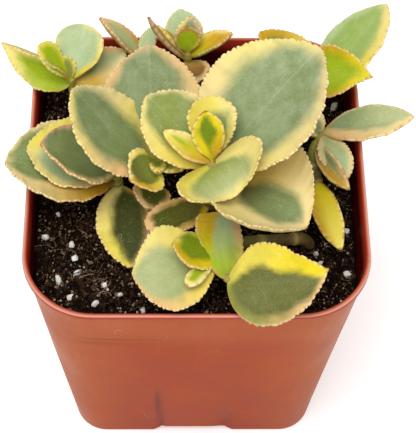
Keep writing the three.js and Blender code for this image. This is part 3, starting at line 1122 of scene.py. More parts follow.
    def build(self, finish: Material) -> Piece:
        """Makes the pot and hands it to the frame.

        Args:
            finish: The plastic.

        Returns:
            The piece.
        """
        piece = self.shell().to_object("pot_body", finish)
        cutter = self.cutters().to_object("pot_cutter", finish)
        cut = piece.modifiers.new("notches_and_holes", "BOOLEAN")
        cut.operation = "DIFFERENCE"
        cut.solver = "EXACT"
        cut.use_self = True
        cut.object = cutter
        baked(piece)
        bpy.data.objects.remove(cutter)
        piece.data.set_sharp_from_angle(angle=math.radians(self.sharp_degrees))
        return place(piece, "pot", "pot")


# The soil


class Form(Enum):
    """Shapes of the litter in the soil."""

    CRUMB = "crumb"
    GRAIN = "grain"
    THREAD = "thread"


@dataclass(frozen=True)
class Strewn:
    """One kind of litter on the soil: its finish and form, pieces per mm2, sizes and unevenness."""

    finish: Litter
    form: Form
    density: float
    smallest: float
    largest: float
    warp: float


@dataclass
class SoilBed:
    """Peat soil with crumbs, fibres and white grains."""

    top: float = 80.0
    mound: float = 6.5
    mound_spread: float = 90.0
    tilt: float = 1.5
    lump: float = 0.7
    gap: float = 0.3
    crust: float = 0.9
    crust_from: float = 76.5
    side_levels: tuple[float, ...] = (30.0, 60.0, 75.0)
    rings: int = 64
    strewn_share: float = 0.985
    seed: int = 7
    litter: tuple[Strewn, ...] = (
        Strewn(
            Litter("peat_crumb", Tint.CRUMB_DARK, Tint.CRUMB_LIGHT, 1.4, own_tint=True),
            Form.CRUMB, density=1.0, smallest=0.14, largest=1.2, warp=1.1,
        ),
        Strewn(
            Litter("peat_bit", Tint.BIT_DARK, Tint.BIT_LIGHT, 1.4, own_tint=True),
            Form.CRUMB, density=1.3, smallest=0.08, largest=0.55, warp=0.4,
        ),
        Strewn(
            Litter("bark_fibre", Tint.FIBRE_DARK, Tint.FIBRE_LIGHT, 0.9, own_tint=True),
            Form.THREAD, density=0.28, smallest=0.4, largest=3.0, warp=0.9,
        ),
        Strewn(
            Litter("pale_chip", Tint.CHIP_DARK, Tint.CHIP_LIGHT, 1.1, own_tint=True),
            Form.CRUMB, density=0.05, smallest=0.10, largest=0.60, warp=0.5,
        ),
    )
    # Where each white grain lies from the side and from the front, and its radius
    grains: tuple[tuple[float, float, float], ...] = (
        (-37.0, -9.0, 1.0), (-40.0, -17.0, 1.0), (-33.0, -18.5, 1.0), (-32.0, -23.5, 1.0),
        (-31.0, -28.3, 1.2), (-36.0, -30.0, 1.2), (-32.5, -36.0, 1.1), (-26.0, -39.5, 1.1),
        (-24.0, -33.5, 0.9), (-20.0, -36.0, 0.9), (-14.0, -38.5, 0.9), (40.0, -26.0, 1.5),
        (33.0, -23.0, 0.9), (32.0, -20.0, 0.9), (40.5, -13.0, 1.0), (39.5, 28.5, 1.4),
    )
    grain_lift: float = 0.35
    grain_warp: float = 1.3

    def height_at(self, x: Array, y: Array) -> Array:
        """The soil's height above the base, as the solid has it.

        Args:
            x: Places across the pot.
            y: Places along its depth.

        Returns:
            The height at each place.
        """
        heap = self.mound * np.exp(-((x + 25) ** 2 + (y + 38) ** 2) / self.mound_spread)
        slope = -self.tilt * x / 45.0
        coarse = np.sin(x * 0.45 + 1.3) * np.cos(y * 0.38)
        fine = 0.7 * np.sin(x * 0.9 - y * 0.75)
        return self.top + slope + heap + self.lump * (coarse + fine)

    def bed(self, pot: NurseryPot, closed: bool) -> Surface:
        """The top of the soil, with sides and underside if it is closed.

        Args:
            pot: The pot that holds it.
            closed: Whether to add the sides and the underside.

        Returns:
            The surface.
        """
        inset = pot.wall + self.gap
        edge = pot.wall_ring(self.top, inset)
        count = len(edge)
        levels = (pot.floor + self.gap, *self.side_levels) if closed else ()
        rings = [pot.wall_ring(z, inset) for z in levels]
        for share in np.linspace(1.0, 0.02, self.rings):
            ring = edge * share
            ring[:, 2] = self.height_at(ring[:, 0], ring[:, 1])
            rings.append(ring)
        middle = float(self.height_at(np.array(0.0), np.array(0.0)))
        points = np.concatenate([*rings, [[0, 0, middle]]])
        faces = bands(len(rings), count)
        last = (len(rings) - 1) * count
        faces += [(last + i, last + (i + 1) % count, len(points) - 1) for i in range(count)]
        if closed:
            faces.append(tuple(range(count - 1, -1, -1)))
        return Surface(points, faces)

    @staticmethod
    def crust_tree(finish: Material) -> Tree:
        """Geometry nodes that roughen the top of the soil.

        Args:
            finish: The soil's material.

        Returns:
            The tree.
        """
        takes = {
            "Geometry": (GEOMETRY, None),
            "Roughness Height": (FLOAT, 0.0009),
            "Above": (FLOAT, 0.0765),
        }
        tree, build, start, _ = new_group("soil_crust", "GeometryNodeTree", takes, GEOMETRY_ONLY)
        given = start.outputs
        here = build.add("GeometryNodeInputPosition").outputs[0]
        apart = build.add("ShaderNodeSeparateXYZ", {0: here})
        rough = build.noise(here, 420.0, 6.0, 0.72)
        deep = build.times(build.math("SUBTRACT", rough, 0.52), given["Roughness Height"])
        offset = build.add("ShaderNodeCombineXYZ", {"Z": build.times(deep, 3.2)})
        upper = build.math("GREATER_THAN", apart.outputs[2], given["Above"])
        feeds = {"Geometry": given["Geometry"], "Selection": upper, "Offset": offset.outputs[0]}
        moved = build.add("GeometryNodeSetPosition", feeds)
        build.finish(moved.outputs[0], finish)
        return tree

    @staticmethod
    def litter_shape(build: Nodes, form: Form, seeds: list[object]) -> tuple[object, object, object]:
        """One piece of litter, about one unit in radius, and how the pieces are turned and stretched.

        Args:
            build: The tree's nodes.
            form: The shape of the litter.
            seeds: Seeds for the turn and the stretch.

        Returns:
            The piece, its turn and its stretch.
        """
        if form is Form.THREAD:
            bow = {"Start": (-1.0, 0.0, 0.0), "Middle": (0.1, 0.5, 0.14), "End": (1.0, -0.1, 0.05)}
            arc = build.add("GeometryNodeCurveQuadraticBezier", {"Resolution": 6, **bow})
            ring = build.add("GeometryNodeCurvePrimitiveCircle", {"Resolution": 3, "Radius": 0.04})
            feeds = {"Curve": arc.outputs[0], "Profile Curve": ring.outputs[0], "Fill Caps": True}
            shape = build.add("GeometryNodeCurveToMesh", feeds)
            turn = build.random(seeds[0], (-0.5, -0.5, 0.0), (0.5, 0.5, FULL_TURN))
            stretch = build.random(seeds[1], (0.7, 0.6, 0.6), (1.2, 1.4, 1.4))
        else:
            rounds = 3 if form is Form.GRAIN else 1
            shape = build.add("GeometryNodeMeshIcoSphere", {"Radius": 1.0, "Subdivisions": rounds})
            turn = build.random(seeds[0], (0.0, 0.0, 0.0), (FULL_TURN, FULL_TURN, FULL_TURN))
            stretch = build.random(seeds[1], (0.55, 0.55, 0.5), (1.3, 1.2, 1.0))
        return shape.outputs[0], turn, stretch

    @classmethod
    def litter_tree(cls, name: str, form: Form, finish: Material) -> Tree:
        """Geometry nodes that lay one kind of litter on a surface, or grains on given points.

        Args:
            name: The tree's name.
            form: The shape of the litter.
            finish: The material of the litter.

        Returns:
            The tree, with inputs for density, seed, sizes and unevenness.
        """
        takes = {
            "Geometry": (GEOMETRY, None),
            "Density": (FLOAT, 1000.0),
            "Seed": (WHOLE, 1),
            "Smallest": (FLOAT, 0.0003),
            "Largest": (FLOAT, 0.0008),
            "Warp": (FLOAT, 0.0006),
        }
        tree, build, start, _ = new_group(name, "GeometryNodeTree", takes, GEOMETRY_ONLY)
        given = start.outputs
        seeds = [build.plus(given["Seed"], float(key)) for key in range(1, 5)]
        shape, turn, stretch = cls.litter_shape(build, form, seeds[1:3])
        if form is Form.GRAIN:
            spots = given["Geometry"]
            own = build.add("GeometryNodeInputNamedAttribute", {"Name": "size"}, data_type="FLOAT")
            size = build.pick(own.outputs, "Attribute")
        else:
            feeds = {"Mesh": given["Geometry"], "Density": given["Density"], "Seed": given["Seed"]}
            spots = build.add("GeometryNodeDistributePointsOnFaces", feeds).outputs["Points"]
            share = build.math("POWER", build.random(seeds[0]), 3.0)
            wide = build.math("SUBTRACT", given["Largest"], given["Smallest"])
            size = build.ramp(share, wide, given["Smallest"])
        toned = build.add("GeometryNodeStoreNamedAttribute", data_type="FLOAT", domain="POINT")
        tone = build.math("POWER", build.random(seeds[3]), 2.2)
        for key, value in (("Geometry", spots), ("Name", "tone"), ("Value", tone)):
            build.feed(build.pick(toned.inputs, key), value)
        scale = build.add("ShaderNodeVectorMath", {0: stretch, "Scale": size}, operation="SCALE").outputs[0]
        feeds = {"Points": toned.outputs[0], "Instance": shape, "Rotation": turn, "Scale": scale}
        laid = build.add("GeometryNodeInstanceOnPoints", feeds)
        real = build.add("GeometryNodeRealizeInstances", {0: laid.outputs[0]})
        build.finish(build.jitter(real.outputs[0], 900.0, given["Warp"]), finish)
        return tree

    def build(self, pot: NurseryPot, effects: SharedEffects) -> None:
        """Makes the soil and its litter and hands them to the frame.

        Args:
            pot: The pot that holds the soil.
            effects: The shared shader groups.
        """
        peat = Litter("peat", Tint.PEAT_DARK, Tint.PEAT_LIGHT, 1.4).material(effects)
        crust = self.crust_tree(peat)
        bed = self.bed(pot, True).to_object("soil_bed")
        sizes = {"Roughness Height": self.crust * MM, "Above": self.crust_from * MM}
        place(grown(bed, crust, sizes), "soil", "soil")
        ground = self.bed(pot, False)
        ground.points[:, :2] *= self.strewn_share
        for index, kind in enumerate(self.litter):
            name = f"soil_{kind.finish.name}"
            tree = self.litter_tree(name, kind.form, kind.finish.material(effects))
            sizes = {
                "Density": kind.density / MM**2,
                "Seed": self.seed + 11 * index,
                "Smallest": kind.smallest * MM,
                "Largest": kind.largest * MM,
                "Warp": kind.warp * MM,
            }
            place(grown(ground.to_object(name), tree, sizes), "soil")
        self.lay_grains(effects)

    def lay_grains(self, effects: SharedEffects) -> None:
        """Makes the white grains, each in its own place, and hands them to the frame.

        Args:
            effects: The shared shader groups.
        """
        x, y, radii = np.array(self.grains).T
        spots = np.column_stack([x, y, self.height_at(x, y) + self.grain_lift * radii])
        chalk = Litter("white_grain", Tint.GRAIN_DARK, Tint.GRAIN_LIGHT, 1.1, own_tint=True)
        tree = self.litter_tree("soil_white_grain", Form.GRAIN, chalk.material(effects))
        grains = Surface(spots, [], {"size": radii * MM}).to_object("soil_white_grain")
        place(grown(grains, tree, {"Seed": self.seed, "Warp": self.grain_warp * MM}), "soil")


# Stems


@dataclass(frozen=True)
class Curve:
    """A smooth curve through a stem's points, as the solid's stem has it."""

    points: tuple[tuple[float, float, float], ...]

    def at(self, share: float) -> Array:
        """A point of the curve.

        Args:
            share: How far along it, from its foot (0) to its crown (1).

        Returns:
            The point.
        """
        given = np.array(self.points, float)
        last = len(given) - 1
        index = min(int(share * last), last - 1)
        weight = share * last - index
        before = given[index - 1] if index > 0 else 2 * given[0] - given[1]
        after = given[index + 2] if index + 2 <= last else 2 * given[last] - given[last - 1]
        a, b = given[index], given[index + 1]
        gaps = [np.linalg.norm(q - p) ** 0.5 for p, q in ((before, a), (a, b), (b, after))]
        start = ((a - before) / gaps[0] - (b - before) / (gaps[0] + gaps[1]) + (b - a) / gaps[1]) * gaps[1]
        end = ((b - a) / gaps[1] - (after - a) / (gaps[1] + gaps[2]) + (after - b) / gaps[2]) * gaps[1]
        cubic = 2 * a - 2 * b + start + end
        square = -3 * a + 3 * b - 2 * start - end
        return a + weight * (start + weight * (square + weight * cubic))


@dataclass(frozen=True)
class Stem:
    """One stem: a curve, a radius and the places where leaves have stood."""

    curve: Curve
    radius: float
    scars: tuple[float, ...]
    fresh: float
    inset: float = 0.93
    scar_width: float = 0.018
    scar_swell: float = 0.12
    crown_radius: float = 0.45
    uneven: float = 0.3
    sides: int = 18
    steps: int = 64

    def line(self) -> Surface:
        """The stem's centre line.

        Returns:
            Points and edges, with the thickness, youth and scars at each point.
        """
        share = np.linspace(0, 1, self.steps)
        points = np.array([self.curve.at(float(s)) for s in share])
        thick = self.radius * self.inset * (1 - 0.1 * share - 0.36 * smooth(share, 0.62, 0.95))
        scar = np.zeros(self.steps)
        for spot in self.scars:
            ring = ridge(share - spot, self.scar_width)
            thick += self.scar_swell * self.radius * ring
            scar = np.maximum(scar, ring)
        thick += 0.05 * self.radius * np.sin(share * 41 + self.radius * 9)
        thick[-1] *= self.crown_radius
        values = {
            "thickness": np.minimum(thick, self.radius) * MM,
            "youth": smooth(share, 0.35, 0.9),
            "scar": scar,
            "fresh": np.full(self.steps, self.fresh),
        }
        return Surface(points, [], values, edges=[(i, i + 1) for i in range(self.steps - 1)])

    @staticmethod
    def tree(finish: Material) -> Tree:
        """Geometry nodes that give a centre line its round, uneven skin.

        Args:
            finish: The bark.

        Returns:
            The tree.
        """
        takes = {"Geometry": (GEOMETRY, None), "Sides": (WHOLE, 18), "Uneven": (FLOAT, 0.0003)}
        tree, build, start, _ = new_group("stem_skin", "GeometryNodeTree", takes, GEOMETRY_ONLY)
        given = start.outputs
        line = build.add("GeometryNodeMeshToCurve", {"Mesh": given["Geometry"]})
        ring = build.add("GeometryNodeCurvePrimitiveCircle", {"Resolution": given["Sides"], "Radius": 1.0})
        thick = build.add("GeometryNodeInputNamedAttribute", {"Name": "thickness"}, data_type="FLOAT")
        feeds = {
            "Curve": line.outputs[0],
            "Profile Curve": ring.outputs[0],
            "Scale": build.pick(thick.outputs, "Attribute"),
            "Fill Caps": True,
        }
        skin = build.add("GeometryNodeCurveToMesh", feeds)
        bent = build.jitter(skin.outputs[0], 700.0, given["Uneven"])
        build.finish(build.add("GeometryNodeSetShadeSmooth", {0: bent}).outputs[0], finish)
        return tree

    def build(self, name: str, tree: Tree) -> Piece:
        """Makes the stem's mesh.

        Args:
            name: The piece's name.
            tree: The geometry tree for stems.

        Returns:
            The piece, not yet handed to the frame.
        """
        piece = self.line().to_object(name)
        return grown(piece, tree, {"Sides": self.sides, "Uneven": self.uneven * MM})


# Leaves


@dataclass(frozen=True)
class Margin:
    """The coloured margin on one side of a leaf, with its widths at the root, the middle and the tip."""

    root: Tint
    tip: Tint
    widths: tuple[float, float, float]


@dataclass(frozen=True)
class Paint:
    """Colours of a leaf: its centre from root to tip, a margin on each side, and the rim between teeth."""

    centre: tuple[Tint, Tint]
    left: Margin
    right: Margin
    rim: Tint
    tip: float = 1.2
    soft: float = 1.0
    wax_and_sheen: float = 0.0


@dataclass(frozen=True)
class Leaf:
    """One leaf: its place on the stem, its form as the solid has it, and its colouring."""

    name: str
    at: float
    heading: float
    rise: float
    length: float
    width: float
    paint: Paint
    roll: float = 0.0
    cup: float = 15.0
    droop: float = 0.0
    sweep: float = 0.0
    belly: float = 0.52
    taper: float = 1.5
    smooth: bool = False


@dataclass(frozen=True)
class Rows:
    """Rows across a leaf: shares of its length, half widths, midrib points and the ways left and up."""

    s: Array
    half: Array
    point: Array
    left: Array
    up: Array


@dataclass
class LeafMaker:
    """Makes a leaf's fine mesh along its curved midrib, with teeth, a round rim and a shallow groove."""

    margin_thickness: float = 0.6
    middle_thickness: float = 1.9
    swell: float = 1.15
    root: float = 0.9
    point: float = 0.25
    tooth_height: float = 0.52
    tooth_pitch: float = 1.4
    tooth_peak: float = 0.66
    tooth_reach: float = 1.1
    smooth_pitch: float = 2.2
    smooth_height: float = 0.12
    groove_depth: float = 0.16
    groove_width: float = 0.7
    shortening: float = 0.996
    rows_per_tooth: int = 6
    stations: int = 160
    rim_steps: tuple[float, ...] = (0.0, 0.05, 0.15, 0.32, 0.6, 1.05)
    column: float = 1.25

    def half_width(self, leaf: Leaf, s: Array) -> Array:
        """Half the leaf's width.

        Args:
            leaf: The leaf.
            s: Shares of its length.

        Returns:
            The half width at each share.
        """
        p = leaf.taper * leaf.belly
        q = leaf.taper * (1 - leaf.belly) + 0.06
        peak = p / (p + q)
        shape = s**p * (1 - s) ** q / (peak**p * (1 - peak) ** q)
        least = self.root + (self.point - self.root) * smooth(s, 0.3, 0.8)
        return np.maximum(shape * leaf.width / 2, least)

    def midrib(self, base: Array, leaf: Leaf) -> Array:
        """The midrib's points and directions.

        Args:
            base: Where the leaf leaves the stem.
            leaf: The leaf.

        Returns:
            For each station nine numbers: the point, and the ways left and up.
        """
        heading, rise = math.radians(leaf.heading), math.radians(leaf.rise)
        droop = math.radians(leaf.droop) / self.stations
        sweep = math.radians(leaf.sweep) / self.stations
        flat = math.cos(rise)
        ahead = Vector((flat * math.cos(heading), flat * math.sin(heading), math.sin(rise)))
        level = Vector((-math.sin(heading), math.cos(heading), 0))
        left = Matrix.Rotation(math.radians(leaf.roll), 3, ahead) @ level
        up = ahead.cross(left)
        point = Vector(base)
        rows = []
        for _ in range(self.stations + 1):
            rows.append([*point, *left, *up])
            half = Matrix.Rotation(sweep / 2, 3, up) @ (Matrix.Rotation(droop / 2, 3, left) @ ahead)
            point = point + half * (leaf.length * self.shortening / self.stations)
            bend = Matrix.Rotation(droop, 3, left)
            ahead, up = bend @ ahead, bend @ up
            turn = Matrix.Rotation(sweep, 3, up)
            ahead, left = turn @ ahead, turn @ left
        return np.array(rows)

    def rows_at(self, rib: Array, leaf: Leaf, s: Array) -> Rows:
        """Rows across the leaf.

        Args:
            rib: The midrib.
            leaf: The leaf.
            s: The rows' shares of the length.

        Returns:
            The rows.
        """
        stations = np.linspace(0, 1, len(rib))
        read = np.stack([np.interp(s, stations, column) for column in rib.T], 1)
        return Rows(s, self.half_width(leaf, s), *np.split(read, 3, 1))

    def even_rows(self, rib: Array, leaf: Leaf) -> tuple[Rows, list[Array]]:
        """Rows spaced evenly along the margin, so that the teeth are even.

        Args:
            rib: The midrib.
            leaf: The leaf.

        Returns:
            The rows, and the run of the left and right margin at each.
        """
        fine = self.rows_at(rib, leaf, (1 - np.cos(np.linspace(0, math.pi, 600))) / 2)
        half = fine.half[:, None]
        cup = math.radians(leaf.cup)
        out, lift = half * math.sin(cup) / cup, half * (1 - math.cos(cup)) / cup
        runs = []
        for side in (1, -1):
            edge = fine.point + side * fine.left * out + fine.up * lift
            steps = np.linalg.norm(np.diff(edge, axis=0), axis=1)
            runs.append(np.concatenate([[0], np.cumsum(steps)]))
        mean = (runs[0] + runs[1]) / 2
        count = max(36, round(mean[-1] / self.tooth_pitch * self.rows_per_tooth))
        s = np.interp(np.linspace(0, mean[-1], count + 1), mean, fine.s)
        return self.rows_at(rib, leaf, s), [np.interp(s, fine.s, run) for run in runs]

    def teeth(self, leaf: Leaf, s: Array, run: Array, seed: float) -> tuple[Array, Array]:
        """The teeth of one margin.

        Args:
            leaf: The leaf.
            s: The rows' shares of the length.
            run: The run of the margin at each row.
            seed: A number of its own for this margin.

        Returns:
            How far each row's margin stands out, and how near it is to a tooth's top, from 0 to 1.
        """
        pitch = self.tooth_pitch * (self.smooth_pitch if leaf.smooth else 1.0)
        count = max(6, round(run[-1] / pitch))
        shift = 0.3 * np.sin(run * 1.7 + seed * 5) * np.sin(run * 0.61 + seed)
        shift = shift + 0.3 * np.sin(run * 0.4 + seed)
        phase = run / run[-1] * count + shift
        part = phase - np.floor(phase)
        rise = np.sin(np.clip(part / self.tooth_peak, 0, 1) * math.pi / 2)
        fall = np.cos(np.clip((part - self.tooth_peak) / (1 - self.tooth_peak), 0, 1) * math.pi / 2)
        shape = np.where(part < self.tooth_peak, rise, fall) ** 0.8
        height = self.tooth_height * min(1.0, 0.4 + leaf.width / 30)
        height = height * (0.3 + scatter(np.floor(phase) + seed * 3.1))
        if leaf.smooth:
            height = height * self.smooth_height
        here = smooth(s, 0.10, 0.28) * (1 - smooth(s, 0.985, 1.0))
        return (shape - 0.45) * height * here, shape * here

    def columns(self, leaf: Leaf, half: Array) -> tuple[Array, Array]:
        """Places across half a leaf, from its margin to its midrib.

        Args:
            leaf: The leaf.
            half: Half the width at each row.

        Returns:
            The distance from the midrib and from the margin, for each row and column.
        """
        steps = np.array(self.rim_steps)
        squeeze = np.minimum(1.0, half / 2.0)[:, None]
        outer = half[:, None] - steps[None, :] * squeeze
        inner_count = max(2, math.ceil((leaf.width / 2 - steps[-1]) / self.column))
        share = np.arange(inner_count - 1, -1, -1) / inner_count
        near = np.concatenate([outer, outer[:, -1:] * share[None, :]], 1)
        return near, half[:, None] - near

    def half_leaf(
        self, leaf: Leaf, rows: Rows, run: Array, side: int, seed: float
    ) -> dict[str, Array]:
        """One half of a leaf, from its margin to its midrib.

        Args:
            leaf: The leaf.
            rows: The rows.
            run: The run of this half's margin at each row.
            side: 1 for the left half and -1 for the right one.
            seed: A number of its own for this leaf.

        Returns:
            By name, for each row and column: the points above and below, the distance to the left of
            the midrib, the distance from the margin and how near a tooth's top lies.
        """
        half, s = rows.half[:, None], rows.s[:, None]
        near, gap = self.columns(leaf, rows.half)
        share = near / half
        cup = math.radians(leaf.cup)
        angle = side * cup * share
        out, lift = half * np.sin(angle) / cup, half * (1 - np.cos(angle)) / cup
        left, up = rows.left[:, None], rows.up[:, None]
        middle = rows.point[:, None] + left * out[..., None] + up * lift[..., None]
        normal = up * np.cos(angle)[..., None] - left * np.sin(angle)[..., None]
        tangent = np.gradient(middle[:, 0], axis=0)
        outward = np.cross(normal[:, 0], tangent) * side
        outward /= np.linalg.norm(outward, axis=1)[:, None] + 1e-9
        reach, knob = self.teeth(leaf, rows.s, run, seed + side)
        weight = np.clip(1 - gap / self.tooth_reach, 0, 1) ** 2
        middle = middle + outward[:, None] * (reach[:, None] * weight)[..., None]

        wave = 0.22 * np.sin(run * 0.8 + seed * 2 + side) + 0.12 * np.sin(run * 1.9 + seed)
        ripple = wave[:, None] * share**4 * np.minimum(1, half / 6)
        full = np.minimum(1.0, self.swell * np.sqrt(np.sin(math.pi * np.clip(s, 0.04, 0.96))))
        body = (self.middle_thickness - self.margin_thickness) * (1 - share**2) * full
        rounded = 1 - np.minimum(1, gap / (self.margin_thickness / 2))
        thick = (self.margin_thickness + body) / 2 * np.sqrt(np.clip(1 - rounded**2, 0, 1))
        groove = self.groove_depth * ridge(near, self.groove_width) * smooth(s, 0.02, 0.2) * (1 - s)
        return {
            "top": middle + normal * (ripple + thick - groove)[..., None],
            "bottom": middle + normal * (ripple - thick - groove * 0.6)[..., None],
            "off": side * near,
            "gap": gap,
            "knob": np.repeat(knob[:, None], near.shape[1], 1),
        }

    @staticmethod
    def loop_faces(rows: int, count: int) -> Faces:
        """The faces of a leaf whose rows are closed loops, over the top and back underneath.

        Args:
            rows: The number of rows.
            count: The points across the top.

        Returns:
            The faces between the rows, then those that close the root and the tip.
        """
        loop = 2 * count - 2
        a = np.arange(rows - 1)[:, None] * loop + np.arange(loop)[None, :]
        b = np.arange(rows - 1)[:, None] * loop + (np.arange(loop)[None, :] + 1) % loop
        quads = np.stack([a, a + loop, b + loop, b], -1).reshape(-1, 4)
        faces: Faces = [tuple(quad) for quad in quads.tolist()]
        for start, flip in ((0, False), ((rows - 1) * loop, True)):
            for j in range(count - 1):
                corners = (j, j + 1, (loop - j - 1) % loop, (loop - j) % loop)
                cap = tuple(start + corner for corner in dict.fromkeys(corners))
                faces.append(cap[::-1] if flip else cap)
        return faces

    def surface(self, base: Array, leaf: Leaf, seed: float) -> Surface:
        """The fine mesh of a leaf.

        Args:
            base: Where the leaf leaves the stem.
            leaf: The leaf.
            seed: A number of its own for this leaf.

        Returns:
            The surface with its stored values and colours.
        """
        rows, runs = self.even_rows(self.midrib(base, leaf), leaf)
        left, right = (self.half_leaf(leaf, rows, run, side, seed) for run, side in zip(runs, (1, -1)))
        whole = {key: np.concatenate([left[key], right[key][:, -2::-1]], 1) for key in left}
        row_count, count = whole["off"].shape
        ring = np.concatenate([whole["top"], whole["bottom"][:, -2:0:-1]], 1)
        index = np.concatenate([np.arange(count), np.arange(count - 2, 0, -1)])
        under = np.concatenate([np.zeros(count), np.ones(count - 2)])
        share = np.repeat(rows.s[:, None], len(index), 1)
        offset = whole["off"][:, index]
        plane = np.stack([offset / PLANE_MM, share * leaf.length / PLANE_MM], -1).reshape(-1, 2)
        plane[:, 0] += seed * 0.37
        zone, colours = self.colours(leaf, rows, whole["off"])
        return Surface(
            ring.reshape(-1, 3),
            self.loop_faces(row_count, count),
            values={
                "zone": zone[:, index].ravel(),
                "soft": np.full(share.size, leaf.paint.soft),
                # The wax bloom rises towards the tip as painted sheen
                "wax_and_sheen": (leaf.paint.wax_and_sheen * (0.5 + 0.8 * share)).ravel(),
                "middle": np.abs(offset).ravel(),
                "rim": whole["gap"][:, index].ravel(),
                "tooth": whole["knob"][:, index].ravel(),
                "under": np.tile(under, row_count),
                "along": (share * leaf.length).ravel(),
            },
            colours={key: colour[:, index].reshape(-1, 4) for key, colour in colours.items()},
            plane=plane,
        )

    @staticmethod
    def colours(leaf: Leaf, rows: Rows, off: Array) -> tuple[Array, dict[str, Array]]:
        """The colouring of each point.

        Args:
            leaf: The leaf.
            rows: The rows.
            off: The distance to the left of the midrib, for each row and column.

        Returns:
            How deep each point lies in the green, in millimetres, and its centre, margin and rim colours.
        """
        paint = leaf.paint
        half, share = rows.half[:, None], rows.s[:, None, None]
        knots = (0.0, 0.5, 1.0)
        left = half - off - np.interp(rows.s, knots, paint.left.widths)[:, None]
        right = half + off - np.interp(rows.s, knots, paint.right.widths)[:, None]
        tip = ((1 - rows.s) * leaf.length)[:, None] - paint.tip
        zone = np.minimum(np.minimum(left, right), tip)

        def run(first: Tint, second: Tint) -> Array:
            """A colour that turns from one tint at the root to another at the tip.

            Args:
                first: The tint at the root.
                second: The tint at the tip.

            Returns:
                The colour at each row and column.
            """
            a, b = np.array(linear(first)), np.array(linear(second))
            return a + (b - a) * smooth(share, 0.15, 0.85) + 0 * off[..., None]

        to_left = (0.5 + 0.5 * np.tanh((right - left) / 2.0))[..., None]
        margin = run(paint.right.root, paint.right.tip)
        margin = margin + (run(paint.left.root, paint.left.tip) - margin) * to_left
        return zone, {"centre": run(*paint.centre), "margin": margin, "rim_tint": run(paint.rim, paint.rim)}


# Shoots


@dataclass(frozen=True)
class Shoot:
    """One leafy stem, under the name of the solid that it stands for."""

    name: str
    slot: str
    radius: float
    stem: tuple[tuple[float, float, float], ...]
    leaves: tuple[Leaf, ...]
    seed: float
    fresh: float = 0.0
    old_scars: tuple[float, ...] = (0.3, 0.5)

    def build(self, maker: LeafMaker, skin: Material, stem_tree: Tree) -> None:
        """Makes the leaves and the stem and hands them to the frame.

        Args:
            maker: Makes the leaf meshes.
            skin: The leaf material.
            stem_tree: The geometry tree for stems.
        """
        curve = Curve(self.stem)
        parts = []
        for i, leaf in enumerate(self.leaves):
            parts.append(maker.surface(curve.at(leaf.at), leaf, self.seed + 7.3 * i))
            LOG.debug("%s: leaf %s, %d points", self.name, leaf.name, len(parts[-1].points))
        leaves = Surface.joined(parts).to_object(f"{self.name}_leaves", skin)
        place(leaves, self.slot, self.name)
        scars = tuple(sorted({leaf.at for leaf in self.leaves} | {*self.old_scars}))
        stem = Stem(curve, self.radius, scars, self.fresh).build(f"{self.name}_stem", stem_tree)
        place(stem, self.slot, self.name)


def rim(root: Tint, tip: Tint, *widths: float) -> Margin:
    """A margin of a leaf.

    Args:
        root: Its tint at the root.
        tip: Its tint at the tip.
        widths: Its one width, or three: at the root, the middle and the tip.

    Returns:
        The margin.
    """
    return Margin(root, tip, widths if len(widths) == 3 else (widths[0],) * 3)


# Short for the tables below, where a leaf's numbers are its share of the stem, its heading and rise in
# degrees, its length and its width
T = Tint

